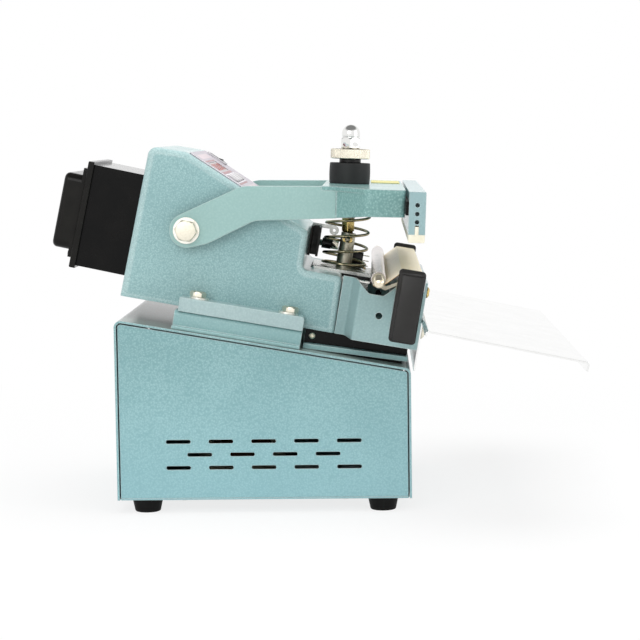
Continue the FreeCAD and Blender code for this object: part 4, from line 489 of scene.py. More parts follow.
def drawn_metal(name, colour, dark, rough, stretch, line=0.5):
    """Metal with fine lines along one direction, as rolling, grinding or turning leaves them."""
    material, tree, shader = new_material(name)
    where = add_node(tree, "ShaderNodeTexCoord").outputs["Object"]
    pulled = add_node(tree, "ShaderNodeMapping", {"Vector": where, "Scale": stretch})
    lines = add_node(tree, "ShaderNodeTexNoise",
                     {"Vector": pulled.outputs["Vector"], "Scale": 1 / (line * MM), "Detail": 3.0})
    stain = add_node(tree, "ShaderNodeTexNoise", {"Vector": where, "Scale": 1 / (25 * MM), "Detail": 2.0})
    tone = add_node(tree, "ShaderNodeMath", {0: lines.outputs["Fac"], 1: stain.outputs["Fac"]},
                    operation="MULTIPLY")
    factor = add_node(tree, "ShaderNodeMapRange",
                      {"Value": tone.outputs["Value"], "From Min": 0.12, "From Max": 0.4})
    colour_mix = add_node(tree, "ShaderNodeMix",
                          {FACTOR: factor.outputs["Result"], FIRST: linear(dark), SECOND: linear(colour)},
                          data_type="RGBA")
    gloss = add_node(tree, "ShaderNodeMapRange",
                     {"Value": lines.outputs["Fac"], "To Min": rough * 0.7, "To Max": rough * 1.4})
    round_edge = add_node(tree, "ShaderNodeBevel", {"Radius": 0.4 * MM}, samples=6)
    bump = add_node(tree, "ShaderNodeBump", {"Height": lines.outputs["Fac"], "Distance": 0.015 * MM,
                                             "Strength": 0.4, "Normal": round_edge.outputs["Normal"]})
    feed(tree, shader, {"Base Color": colour_mix.outputs[MIXED], "Roughness": gloss.outputs["Result"],
                        "Metallic": 1.0, "Normal": bump.outputs["Normal"]})
    return material


# A pattern is stretched by drawing it fiftyfold, or twentyfold, longer one way
LINES_ACROSS = (1.0, 0.02, 1.0)
LINES_UPRIGHT = (1.0, 1.0, 0.05)

# Clear zinc plate: warm silver with soft clouds
zinc = plated_metal("zinc_plated_steel", "#f4efdf", "#d9d4c2", 0.28)
# Yellow passivated zinc: the same, straw coloured and duller
bolt_zinc = plated_metal("yellow_passivated_zinc", "#f1ecdc", "#d2ccba", 0.36, 2.0)
# Fresh zinc on a punched washer: the brightest of the plated parts
washer_zinc = plated_metal("bright_washer_zinc", "#fbfaf4", "#e4e0d2", 0.3, 2.0)
# Nickel plate: warm, even and fairly sharp
nickel = plated_metal("nickel_plated_steel", "#f6f0df", "#e6dfce", 0.24)
# Polished chrome plate: a clean mirror, pale below and dark on its crown
chrome = plated_metal("polished_chrome", "#f0f0ee", "#e6e6e4", 0.05)
# Turned brass: yellow, slightly tarnished in patches
brass = plated_metal("turned_brass", "#e6cf8e", "#c9ad66", 0.26)
# Rolled stainless sheet: nearly a mirror, with long lines across the machine
stainless = drawn_metal("rolled_stainless_sheet", "#fbfbfa", "#f0f0ef", 0.10, LINES_ACROSS)
# Extruded aluminium: a cool, satin silver with extrusion lines
aluminium = drawn_metal("extruded_aluminium", "#e2e3e4", "#cdd0d2", 0.30, LINES_ACROSS)
# Ground steel tube: satin, with a faint pink painted in as a reflection of its surroundings
tube_steel = drawn_metal("ground_steel_tube", "#f1e9e6", "#ddd5d3", 0.24, LINES_ACROSS)
# Bright drawn rod: cream silver with drawing lines along it
rod_steel = drawn_metal("bright_drawn_rod", "#f8f0dc", "#e8dec5", 0.20, LINES_ACROSS)
# Machined steel: grey with an oily brown cast
machined = drawn_metal("machined_steel", "#b5b09f", "#8d8878", 0.30, LINES_UPRIGHT)
# Ground plunger: the same steel, ground paler and duller
plunger_steel = drawn_metal("ground_plunger_steel", "#cfcab9", "#a8a392", 0.34, LINES_UPRIGHT)
# Oiled spring wire: dark straw with sharp highlights
spring_steel = plated_metal("oiled_spring_steel", "#c8bd9f", "#8f8466", 0.16)
# Zinc on flat plate: a cool silver with broad clouds
magnet_steel = plated_metal("bright_zinc_on_plate", "#e4e4e0", "#c9c9c5", 0.26, 8.0)
# Black zinc: near black with a metal gloss
black_zinc = plated_metal("black_zinc_on_steel", "#3b3a39", "#2a2929", 0.34)
print("metals:", [material.name for material in (zinc, nickel, chrome, brass, stainless, aluminium)])

# %% [markdown]
# ## Plastics, rubber, film and black coats
#
# Moulded housings have a fine spark-eroded grain that dulls their gloss. Rubber
# is duller and a little dusty. The black box and hood also have a thin clear
# coat, which mirrors the white room where they are seen along their faces.


# %% Plastic and rubber finishes
def moulded(name, colour, dust, rough, grain=0.6, relief=0.03, edge=0.8, sheen=0.0, shine=0.5, coat=0.0):
    """Moulded plastic, rubber, film or ink with a fine grain; grain, relief and edge are in millimetres."""
    material, tree, shader = new_material(name)
    where = add_node(tree, "ShaderNodeTexCoord").outputs["Object"]
    grains = add_node(tree, "ShaderNodeTexNoise", {"Vector": where, "Scale": 1 / (grain * MM), "Detail": 2.0})
    patch = add_node(tree, "ShaderNodeTexNoise", {"Vector": where, "Scale": 1 / (18 * MM), "Detail": 3.0})
    dusty = add_node(tree, "ShaderNodeMapRange",
                     {"Value": patch.outputs["Fac"], "From Min": 0.4, "From Max": 0.75})
    colour_mix = add_node(tree, "ShaderNodeMix",
                          {FACTOR: dusty.outputs["Result"], FIRST: linear(colour), SECOND: linear(dust)},
                          data_type="RGBA")
    gloss = add_node(tree, "ShaderNodeMapRange",
                     {"Value": patch.outputs["Fac"], "To Min": rough - 0.06, "To Max": rough + 0.1})
    round_edge = add_node(tree, "ShaderNodeBevel", {"Radius": edge * MM}, samples=6)
    bump = add_node(tree, "ShaderNodeBump", {"Height": grains.outputs["Fac"], "Distance": relief * MM,
                                             "Strength": 0.6, "Normal": round_edge.outputs["Normal"]})
    feed(tree, shader, {"Base Color": colour_mix.outputs[MIXED], "Roughness": gloss.outputs["Result"],
                        "Normal": bump.outputs["Normal"], "IOR": 1.5, "Specular IOR Level": shine,
                        "Coat Weight": coat, "Coat Roughness": 0.06, "Coat IOR": 1.2, "Sheen Weight": sheen})
    return material


# Powder coat on steel: a deep black that mirrors the white room where it is seen along its face
box_coat = moulded("black_powder_coat", "#080808", "#0e0d0c", 0.24, shine=0.06, coat=0.8)
# Moulded ABS: a brownish black with well rounded edges
hood_plastic = moulded("black_abs", "#100f0d", "#191815", 0.3, edge=1.2, shine=0.1, coat=0.6)
# Moulded phenolic: charcoal, satin, with soft edges
cap_plastic = moulded("black_phenolic", "#201f1e", "#272625", 0.4, edge=1.6, shine=0.35)
# Natural rubber: matt black with a trace of bloom
rubber = moulded("black_rubber", "#0c0c0c", "#141413", 0.6, sheen=0.02, shine=0.12)
# Neoprene: a dark grey, duller than the plastics
bush_rubber = moulded("black_neoprene", "#232323", "#2e2e2e", 0.5, edge=0.4, sheen=0.02, shine=0.25)
# Chassis paint: smooth glossy black
channel_paint = moulded("black_chassis_paint", "#0a0a0a", "#101010", 0.22, shine=0.15)
# Gloss ABS: a sharp black, smooth to the eye
gloss_black = moulded("black_gloss_abs", "#0b0b0b", "#101010", 0.2, relief=0.01, shine=0.3)
# Grey ABS of the keys: pale and satin
key_plastic = moulded("grey_key_abs", "#cfcdd0", "#c5c3c5", 0.4)
# Silicone: waxy cream
silicone = moulded("white_silicone", "#f3efdc", "#ebe4cb", 0.5, relief=0.05)
# Plain yellow film: a flat, slightly faded yellow
label_film = moulded("plain_yellow_film", "#dcd58a", "#d6ce80", 0.45, relief=0.01)
# Polyester film: lilac grey and smooth
panel_film = moulded("grey_polyester_film", "#b9b2bb", "#aea7b0", 0.32, relief=0.008)
# Solder mask: bottle green
board_green = moulded("green_solder_mask", "#1f5a34", "#24663b", 0.35)
# Acrylic filter: dark red and glossy
window_red = moulded("dark_red_acrylic", "#4a1216", "#3d0e13", 0.08, relief=0.0)
# Coil tape: dull brown
coil_tape = moulded("brown_coil_tape", "#3a2c22", "#4a392c", 0.5)
# Enamelled copper wire: reddish brown with a varnish gloss
enamelled_wire = moulded("enamelled_copper_wire", "#6d3a1c", "#7d4522", 0.25, relief=0.0)
print("materials:", len(bpy.data.materials))

# %% [markdown]
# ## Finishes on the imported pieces
#
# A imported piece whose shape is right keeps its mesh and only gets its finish.

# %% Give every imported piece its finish
FINISHES = {
    "cabinet_shell": cabinet_enamel, "cabinet_sides": cabinet_enamel, "bottom_plate": cabinet_enamel,
    "rubber_feet": rubber, "cabinet_screws": zinc, "rear_sockets": gloss_black, "transformer": machined,
    "front_plate": rail_enamel, "rubber_wedge": rubber, "support_channel": channel_paint,
    "head_rails": rail_enamel, "head_lugs": lug_enamel, "rail_bolts": zinc,
    "head_sides": head_enamel, "head_cover": head_enamel,
    "control_panel": panel_film, "display_window": window_red, "control_board": board_green,
    "push_button_1": key_plastic, "push_button_2": key_plastic,
    "push_button_3": key_plastic, "push_button_4": key_plastic,
    "rocker_frame": key_plastic, "rocker": gloss_black,
    "rear_box": box_coat, "rear_lid": hood_plastic, "rear_hood": hood_plastic, "housing_screws": zinc,
    "lower_bracket": bracket_enamel, "lower_jaw": aluminium, "front_screws": brass, "heating_band": machined,
    "jaw_caps": cap_plastic, "ptfe_cloth": silicone, "cloth_clamp": aluminium, "cloth_roller": tube_steel,
    "roller_rod": rod_steel, "pivot_bolts": zinc, "magnet_frame": magnet_steel, "magnet_coil": coil_tape,
    "yoke_stack": magnet_steel, "throat_fittings": zinc, "limit_switch": gloss_black, "shelf": stainless,
    "return_spring": spring_steel, "plunger": plunger_steel, "arm_sides": arm_enamel, "pivot_bushes": brass,
    "press_beam": beam_enamel, "label_plate": label_film, "upper_jaw": jaw_enamel, "sealing_strip": silicone,
    "jaw_spacer": rubber, "jaw_screws": black_zinc, "pressure_rod": machined, "rubber_bush": bush_rubber,
    "knurled_nut": nickel, "acorn_nut": chrome, "rod_clevis": brass,
}
for node, material in FINISHES.items():
    mesh = frame["nodes"][node].data
    mesh.materials.clear()
    mesh.materials.append(material)
print("finished pieces:", len(FINISHES), "left bare:", sorted(set(frame["nodes"]) - set(FINISHES)))

# %% [markdown]
# ## Making meshes
#
# The next helpers make the shapes that the small pieces need. A turned part is a
# profile swept round an axis, and the same sweep held in by six flats gives a
# hexagon with proper chamfers. A few pieces hold several bodies in one packed
# mesh, and those can be copied apart so that each gets its own finish.


# %% Turned shapes and blocks
def turned(profile, steps=48, flats=None):
    """Closed turned body from (radius, height) points; flats holds it in to a hexagon."""
    body = bmesh.new()
    rings = []
    for radius, height in profile:
        ring = []
        for i in range(steps if radius > 0 else 1):
            angle = math.tau * i / steps
            facet = (angle + math.pi / 6) % (math.pi / 3) - math.pi / 6
            out = min(radius, flats / 2 / math.cos(facet)) if flats else radius
            ring.append(body.verts.new((out * math.cos(angle), out * math.sin(angle), height)))
        rings.append(ring)
    for low, high in zip(rings, rings[1:]):
        for i in range(steps):
            j = (i + 1) % steps
            corners = (low[i % len(low)], low[j % len(low)], high[j % len(high)], high[i % len(high)])
            body.faces.new(list(dict.fromkeys(corners)))
    bmesh.ops.remove_doubles(body, verts=body.verts, dist=1e-7)
    return body


def rounded_block(low, high, edge, steps=3):
    """Block between two corners with its edges rounded."""
    body = bmesh.new()
    bmesh.ops.create_cube(body, size=1.0)
    for vertex in body.verts:
        vertex.co = Vector(low[i] if vertex.co[i] < 0 else high[i] for i in range(3))
    bmesh.ops.bevel(body, geom=list(body.edges), offset=edge, segments=steps, profile=0.5, affect="EDGES")
    return body


def plain_mesh(name, shape):
    """A bmesh as a plain mesh."""
    mesh = bpy.data.meshes.new(name)
    shape.to_mesh(mesh)
    shape.free()
    return mesh


def together(shapes):
    """Several bmeshes as one."""
    whole = bmesh.new()
    for shape in shapes:
        part = plain_mesh("part", shape)
        whole.from_mesh(part)
        bpy.data.meshes.remove(part)
    return whole


print("mesh helpers ready")


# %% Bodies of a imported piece
def separate_bodies(node):
    """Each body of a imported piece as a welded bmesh, with its lowest and highest corner."""
    whole = bmesh.new()
    whole.from_mesh(frame["nodes"][node].data)
    bmesh.ops.remove_doubles(whole, verts=whole.verts, dist=1e-6)
    whole.verts.index_update()
    left = set(whole.verts)
    groups = []
    for start in whole.verts:
        if start not in left:
            continue
        group = {start}
        waiting = [start]
        while waiting:
            vertex = waiting.pop()
            near = {edge.other_vert(vertex) for edge in vertex.link_edges} - group
            group |= near
            waiting += near
        left -= group
        groups.append({vertex.index for vertex in group})
    bodies = []
    for kept in groups:
        body = whole.copy()
        others = [vertex for vertex in body.verts if vertex.index not in kept]
        bmesh.ops.delete(body, geom=others, context="VERTS")
        bodies.append((body, *corners_of([vertex.co for vertex in body.verts])))
    whole.free()
    return bodies


def bodies_where(node, test):
    """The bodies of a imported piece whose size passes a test, as one bmesh."""
    return together([body for body, low, high in separate_bodies(node) if test(high - low)])


def widest_facing(node, towards):
    """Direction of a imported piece's widest flat side among those that look roughly one way."""
    areas = {}
    for face in frame["nodes"][node].data.polygons:
        if face.normal.dot(Vector(towards)) > 0.8:
            key = tuple(round(part, 3) for part in face.normal)
            areas[key] = areas.get(key, 0.0) + face.area
    return Vector(max(areas, key=areas.get)).normalized()


print("rear sockets hold", len(separate_bodies("rear_sockets")), "bodies")

# %% [markdown]
# ## New pieces
#
# Every new piece gets its finish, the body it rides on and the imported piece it
# stands for. Its normals are smoothed, except across edges sharper than an angle.


# %% New pieces
def add_piece(name, shape, finish, body, node, place=None, smooth=35, replace=True):
    """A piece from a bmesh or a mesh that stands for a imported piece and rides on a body, if one is named."""
    mesh = plain_mesh(name, shape) if isinstance(shape, bmesh.types.BMesh) else shape
    if place is not None:
        mesh.transform(place)
    mesh.name = name
    mesh.polygons.foreach_set("use_smooth", [True] * len(mesh.polygons))
    mesh.set_sharp_from_angle(angle=math.radians(smooth))
    mesh.materials.clear()
    mesh.materials.append(finish)
    piece = bpy.data.objects.new(name, mesh)
    bpy.context.scene.collection.objects.link(piece)
    if body:
        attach(piece, body)
    if replace:
        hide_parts(node)
    return piece


print("new pieces can be added")

# %% [markdown]
# ## Growing pieces with Geometry Nodes
#
# Screws, spring turns, winding turns and knurling all repeat one shape by a rule,
# and a node tree states such a rule once. Each tree below gets named inputs for
# its sizes. Its arithmetic is written as a list of sums. The tree is run on a host
# object, its result is taken as a plain mesh, and the host is thrown away, so that
# nothing live is left in the scene.


# %% Trees and what they grow
def new_tree(name, sizes):
    """A geometry node tree whose inputs are named sizes, and the sockets of those inputs."""
    tree = bpy.data.node_groups.new(name, "GeometryNodeTree")
    tree.interface.new_socket("Geometry", in_out="INPUT", socket_type="NodeSocketGeometry")
    for label, kind in sizes.items():
        tree.interface.new_socket(label, in_out="INPUT", socket_type="NodeSocket" + kind)
    tree.interface.new_socket("Geometry", in_out="OUTPUT", socket_type="NodeSocketGeometry")
    return tree, add_node(tree, "NodeGroupInput").outputs


def work_out(tree, sums, known):
    """Adds a list of sums to a tree; each row is a result, an operation and its terms."""
    for result, operation, *terms in sums:
        inputs = {place: known.get(term, term) for place, term in enumerate(terms)}
        known[result] = add_node(tree, "ShaderNodeMath", inputs, operation=operation).outputs["Value"]


def end_tree(tree, geometry, finish):
    """Ends a tree: its instances become real and get their material."""
    real = add_node(tree, "GeometryNodeRealizeInstances", {"Geometry": geometry})
    dressed = add_node(tree, "GeometryNodeSetMaterial",
                       {"Geometry": real.outputs["Geometry"], "Material": finish})
    add_node(tree, "NodeGroupOutput", {"Geometry": dressed.outputs["Geometry"]})


def grown(tree, sizes, host_mesh=None):
    """The plain mesh that a tree makes from its sizes."""
    host = bpy.data.objects.new("host", host_mesh or bpy.data.meshes.new("host"))
    bpy.context.scene.collection.objects.link(host)
    modifier = host.modifiers.new("growth", "NODES")
    modifier.node_group = tree
    for socket in tree.interface.items_tree:
        if socket.in_out == "INPUT" and socket.name in sizes:
            modifier[socket.identifier] = sizes[socket.name]
    mesh = bpy.data.meshes.new_from_object(host.evaluated_get(bpy.context.evaluated_depsgraph_get()))
    host.modifiers.remove(modifier)
    bpy.data.objects.remove(host)
    return mesh


print("tree helpers ready")

# %% [markdown]
# ## Return spring
#
# The spring stands on the magnet's yoke and lifts the arm. It is wound from
# round wire with a closed turn at each end, and because the arm tips, its axis is
# bent a little. The tree takes every point's index as a number of turns, works
# out the height from the pitch, tips each turn by its share of the arm's swing,
# and sweeps the wire round the path.

# %% Spring tree
WIRE_SIDES = 14
STEPS_PER_TURN = 36

# Each row is a sum: its result, its operation and its terms. Heights start at the chord's foot
BENT_COIL = [
    ("last point", "SUBTRACT", "Points", 1.0),
    ("along wire", "DIVIDE", "Index", "last point"),
    ("turn", "MULTIPLY", "along wire", "Turns"),
    ("lower closed", "MINIMUM", "turn", "Closed Turns"),
    ("upper start", "SUBTRACT", "Turns", "Closed Turns"),
    ("past start", "SUBTRACT", "turn", "upper start"),
    ("upper closed", "MAXIMUM", "past start", 0.0),
    ("closed", "ADD", "lower closed", "upper closed"),
    ("open", "SUBTRACT", "turn", "closed"),
    ("all closed", "MULTIPLY", "Closed Turns", 2.0),
    ("all open", "SUBTRACT", "Turns", "all closed"),
    ("both margins", "MULTIPLY", "Margin", 2.0),
    ("wound height", "SUBTRACT", "Chord", "both margins"),
    ("closed height", "MULTIPLY", "all closed", "Closed Pitch"),
    ("open height", "SUBTRACT", "wound height", "closed height"),
    ("open pitch", "DIVIDE", "open height", "all open"),
    ("closed rise", "MULTIPLY_ADD", "closed", "Closed Pitch", "Margin"),
    ("height", "MULTIPLY_ADD", "open", "open pitch", "closed rise"),
    ("share", "DIVIDE", "height", "Chord"),
    ("off middle", "SUBTRACT", "share", 0.5),
    ("tip", "MULTIPLY", "off middle", "Swing"),
    ("tip cosine", "COSINE", "tip"),
    ("tip sine", "SINE", "tip"),
    ("rest of chord", "SUBTRACT", 1.0, "share"),
    ("bend", "MULTIPLY", "share", "rest of chord"),
    ("most bend", "MULTIPLY", "Bow", 4.0),
    ("bowed", "MULTIPLY", "bend", "most bend"),
    ("angle", "MULTIPLY", "turn", math.tau),
    ("angle cosine", "COSINE", "angle"),
    ("angle sine", "SINE", "angle"),
    ("out", "MULTIPLY", "angle cosine", "Coil Radius"),
    ("y", "MULTIPLY", "angle sine", "Coil Radius"),
    ("x", "MULTIPLY_ADD", "out", "tip cosine", "bowed"),
    ("z", "MULTIPLY_ADD", "out", "tip sine", "height"),
]

spring_tree, size = new_tree("bent_coil_spring", {
    "Coil Radius": "Float", "Wire Radius": "Float", "Turns": "Float", "Closed Turns": "Float",
    "Closed Pitch": "Float", "Chord": "Float", "Margin": "Float", "Swing": "Float", "Bow": "Float",
    "Points": "Int", "Finish": "Material"})
known = {socket.name: socket for socket in size}
known["Index"] = add_node(spring_tree, "GeometryNodeInputIndex").outputs["Index"]
work_out(spring_tree, BENT_COIL, known)
point = add_node(spring_tree, "ShaderNodeCombineXYZ", {"X": known["x"], "Y": known["y"], "Z": known["z"]})
line = add_node(spring_tree, "GeometryNodeMeshLine", {"Count": size["Points"]})
bent = add_node(spring_tree, "GeometryNodeSetPosition",
                {"Geometry": line.outputs["Mesh"], "Position": point.outputs["Vector"]})
path = add_node(spring_tree, "GeometryNodeMeshToCurve", {"Mesh": bent.outputs["Geometry"]})
wire = add_node(spring_tree, "GeometryNodeCurvePrimitiveCircle",
                {"Resolution": WIRE_SIDES, "Radius": size["Wire Radius"]})
swept = add_node(spring_tree, "GeometryNodeCurveToMesh",
                 {"Curve": path.outputs["Curve"], "Profile Curve": wire.outputs["Curve"], "Fill Caps": True})
end_tree(spring_tree, swept.outputs["Mesh"], size["Finish"])
print("spring tree nodes:", len(spring_tree.nodes))

# %% Grow the spring
SPRING = {"Coil Radius": 20.5 * MM, "Wire Radius": 1.3 * MM, "Turns": 6.5, "Closed Turns": 1.0,
          "Closed Pitch": 3.2 * MM, "Margin": 1.6 * MM}
BEAM_SHEET = 4.0 * MM

plunger_low, plunger_high = reach("plunger", SLOPE)
plunger_axis = (plunger_low.x + plunger_high.x) / 2
rod_axis = (ARM.inverted() @ Vector(joints["pressure_nut_turn"]["pos_m"])).x
spring_foot = SLOPE @ Vector((plunger_axis, 0, reach("yoke_stack", SLOPE)[1].z))
spring_top = ARM @ Vector((rod_axis, 0, reach("press_beam", ARM)[1].z - BEAM_SHEET))
chord = (spring_top - spring_foot).length
swing = slope_up.angle(arm_up)
mesh = grown(spring_tree, {**SPRING, "Chord": chord, "Swing": swing, "Bow": chord * math.tan(swing / 4) / 2,
                           "Points": int(SPRING["Turns"] * STEPS_PER_TURN) + 1, "Finish": spring_steel})
spring = add_piece("coil_spring", mesh, spring_steel, None, "return_spring",
                   leaning_frame(spring_foot, spring_top - spring_foot), smooth=60)
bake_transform(spring)
print("spring stands %.1f mm high between its seats" % (chord / MM))

# %% [markdown]
# ## Screws with a cross recess
#
# The hood, the channel, the terminals, the shelf and the cabinet are held by pan
# head screws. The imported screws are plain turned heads. One tree makes a domed
# head with a cross recess on a shank and puts it at every point of its host, and
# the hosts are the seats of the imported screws.

# %% Screw tree
# The dome falls towards the rim, and the cross is cut by two crossing bands with sloping sides
PAN_HEAD = [
    ("from middle", "DIVIDE", "out", "Head Radius"),
    ("near rim", "POWER", "from middle", 3.0),
    ("band", "MULTIPLY", "Head Radius", 0.16),
    ("band foot", "MULTIPLY", "Head Radius", 0.30),
    ("cross reach", "MULTIPLY", "Head Radius", 0.45),
    ("cross end", "MULTIPLY", "Head Radius", 0.62),
    ("off x", "ABSOLUTE", "X"),
    ("off y", "ABSOLUTE", "Y"),
    ("off nearest", "MINIMUM", "off x", "off y"),
]
RECESS = [
    ("cross", "MULTIPLY", "in band", "in reach"),
    ("cut", "ADD", "cross", "near rim"),
    ("depth", "MULTIPLY", "Head Height", -0.55),
    ("drop", "MULTIPLY", "cut", "depth"),
    ("is top", "GREATER_THAN", "Z", 0.0),
    ("top drop", "MULTIPLY", "drop", "is top"),
    ("half head", "MULTIPLY", "Head Height", 0.5),
    ("half shank", "MULTIPLY", "Shank Length", -0.5),
]

screw_tree, size = new_tree("cross_recess_screws", {
    "Head Radius": "Float", "Head Height": "Float", "Shank Radius": "Float", "Shank Length": "Float",
    "Facing": "Vector", "Finish": "Material"})
blank = add_node(screw_tree, "GeometryNodeMeshCylinder",
                 {"Vertices": 40, "Side Segments": 3, "Fill Segments": 9, "Radius": size["Head Radius"],
                  "Depth": size["Head Height"]}, fill_type="TRIANGLE_FAN")
here = add_node(screw_tree, "GeometryNodeInputPosition").outputs["Position"]
known = {socket.name: socket for socket in size}
split = add_node(screw_tree, "ShaderNodeSeparateXYZ", {"Vector": here})
known |= {socket.name: socket for socket in split.outputs}
flat = add_node(screw_tree, "ShaderNodeCombineXYZ", {"X": known["X"], "Y": known["Y"]})
known["out"] = add_node(screw_tree, "ShaderNodeVectorMath", {0: flat.outputs["Vector"]},
                        operation="LENGTH").outputs["Value"]
work_out(screw_tree, PAN_HEAD, known)
band = add_node(screw_tree, "ShaderNodeMapRange",
                {"Value": known["off nearest"], "From Min": known["band"],
                 "From Max": known["band foot"], "To Min": 1.0, "To Max": 0.0})
ends = add_node(screw_tree, "ShaderNodeMapRange",
                {"Value": known["out"], "From Min": known["cross reach"],
                 "From Max": known["cross end"], "To Min": 1.0, "To Max": 0.0})
known |= {"in band": band.outputs["Result"], "in reach": ends.outputs["Result"]}
work_out(screw_tree, RECESS, known)
lowered, lifted, sunk = (add_node(screw_tree, "ShaderNodeCombineXYZ", {"Z": known[name]}).outputs["Vector"]
                         for name in ("top drop", "half head", "half shank"))
formed = add_node(screw_tree, "GeometryNodeSetPosition",
                  {"Geometry": blank.outputs["Mesh"], "Offset": lowered})
head = add_node(screw_tree, "GeometryNodeTransform",
                {"Geometry": formed.outputs["Geometry"], "Translation": lifted})
round_bar = add_node(screw_tree, "GeometryNodeMeshCylinder",
                     {"Vertices": 16, "Radius": size["Shank Radius"], "Depth": size["Shank Length"]})
shank = add_node(screw_tree, "GeometryNodeTransform",
                 {"Geometry": round_bar.outputs["Mesh"], "Translation": sunk})
screw = add_node(screw_tree, "GeometryNodeJoinGeometry", {"Geometry": head.outputs["Geometry"]})
screw_tree.links.new(shank.outputs["Geometry"], screw.inputs["Geometry"])
turned_to = add_node(screw_tree, "FunctionNodeAlignRotationToVector", {"Vector": size["Facing"]}, axis="Z")
placed = add_node(screw_tree, "GeometryNodeInstanceOnPoints",
                  {"Points": size["Geometry"], "Instance": screw.outputs["Geometry"],
                   "Rotation": turned_to.outputs["Rotation"]})
end_tree(screw_tree, placed.outputs["Instances"], size["Finish"])
print("screw tree nodes:", len(screw_tree.nodes))


# %% Screws at their packed seats
def screw_seats(node, facing, head_height, wanted):
    """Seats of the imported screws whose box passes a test, as the points of a mesh."""
    seats = []
    for body, low, high in separate_bodies(node):
        if wanted(low, high):
            top = max(vertex.co.dot(facing) for vertex in body.verts)
            crown = [vertex.co for vertex in body.verts if vertex.co.dot(facing) > top - 0.01 * MM]
            seats.append(sum(crown, Vector()) / len(crown) - facing * head_height)
        body.free()
    mesh = bpy.data.meshes.new("seats")
    mesh.from_pydata(seats, [], [])
    return mesh


def put_screws(name, node, facing, finish, head, shank, wanted=lambda low, high: True):
    """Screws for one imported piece; head and shank are a radius and a length in millimetres."""
    facing = Vector(facing).normalized()
    seats = screw_seats(node, facing, head[1] * MM, wanted)
    count = len(seats.vertices)
    sizes = {"Head Radius": head[0] * MM, "Head Height": head[1] * MM, "Shank Radius": shank[0] * MM,
             "Shank Length": shank[1] * MM, "Facing": facing, "Finish": finish}
    add_piece(name, grown(screw_tree, sizes, seats), finish, "base", node)
    print(name, count)


# Terminal screws stand outside this distance from the middle, shelf screws inside it
TERMINALS_FROM = 95 * MM
# Case screws sit above this height and foot screws below it
CASE_SCREWS_FROM = 8 * MM
lid_out = widest_facing("rear_lid", (-1, 0, 0))
slope_along = SLOPE.to_3x3() @ Vector((1, 0, 0))
hood_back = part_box("rear_hood")[1].x
put_screws("hood_screws", "housing_screws", lid_out, black_zinc, (2.9, 2.0), (1.5, 6.0),
           lambda low, high: high.x < hood_back)
put_screws("channel_screw_near", "housing_screws", -ACROSS, zinc, (3.0, 2.6), (1.8, 3.0),
           lambda low, high: low.x > hood_back and high.y < 0)
put_screws("channel_screw_far", "housing_screws", ACROSS, zinc, (3.0, 2.6), (1.8, 3.0),
           lambda low, high: low.x > hood_back and low.y > 0)
put_screws("terminal_screws", "front_screws", slope_along, brass, (5.0, 3.6), (3.0, 8.0),
           lambda low, high: abs(low.y + high.y) / 2 > TERMINALS_FROM)
put_screws("shelf_screws", "front_screws", slope_along, zinc, (7.0, 5.0), (3.0, 8.0),
           lambda low, high: abs(low.y + high.y) / 2 < TERMINALS_FROM)
put_screws("case_screws", "cabinet_screws", (0, 0, -1), chrome, (4.2, 2.4), (2.0, 6.0),
           lambda low, high: low.z > CASE_SCREWS_FROM)
put_screws("foot_screws", "cabinet_screws", (0, 0, -1), zinc, (4.4, 2.6), (2.0, 12.0),
           lambda low, high: low.z < CASE_SCREWS_FROM)

# %% [markdown]
# ## Pressure rod stack
#
# On the beam stand a rubber bush, a black collar, a knurled nut and a domed nut.
# Rubber between two flat faces bulges a little. The domed nut is a hexagon that a
# chamfer and a dome hold in, which is just what the turned sweep with flats does.
# The nut's straight knurling is one ridge, grown all round it by a tree.

# %% Ring tree
ring_tree, size = new_tree("ring_of_ridges", {
    "Count": "Int", "Radius": "Float", "Ridge": "Float", "Height": "Float", "Finish": "Material"})
circle = add_node(ring_tree, "GeometryNodeMeshCircle", {"Vertices": size["Count"], "Radius": size["Radius"]})
here = add_node(ring_tree, "GeometryNodeInputPosition").outputs["Position"]
ridge = add_node(ring_tree, "GeometryNodeMeshCylinder",
                 {"Vertices": 8, "Radius": size["Ridge"], "Depth": size["Height"]})
outward = add_node(ring_tree, "FunctionNodeAlignRotationToVector", {"Vector": here}, axis="X")
ridges = add_node(ring_tree, "GeometryNodeInstanceOnPoints",
                  {"Points": circle.outputs["Mesh"], "Instance": ridge.outputs["Mesh"],
                   "Rotation": outward.outputs["Rotation"]})
middle = add_node(ring_tree, "ShaderNodeMath", {0: size["Height"], 1: 0.5}, operation="MULTIPLY")
raised = add_node(ring_tree, "ShaderNodeCombineXYZ", {"Z": middle.outputs["Value"]})
lifted = add_node(ring_tree, "GeometryNodeTransform",
                  {"Geometry": ridges.outputs["Instances"], "Translation": raised.outputs["Vector"]})
joined = add_node(ring_tree, "GeometryNodeJoinGeometry", {"Geometry": lifted.outputs["Geometry"]})
ring_tree.links.new(size["Geometry"], joined.inputs["Geometry"])
end_tree(ring_tree, joined.outputs["Geometry"], size["Finish"])
print("ring tree nodes:", len(ring_tree.nodes))

# %% Rubber bush
ROD_RADIUS = 6.2 * MM
BUSH_LIP = 1.2 * MM
BUSH_BULGE = 0.3 * MM
BULGE_STEPS = 12


def on_rod(node):
    """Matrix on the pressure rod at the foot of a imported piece, and that piece's height and radius."""
    low, high = reach(node, ARM)
    return ARM @ Matrix.Translation((rod_axis, 0, low.z)), high.z - low.z, (high.y - low.y) / 2


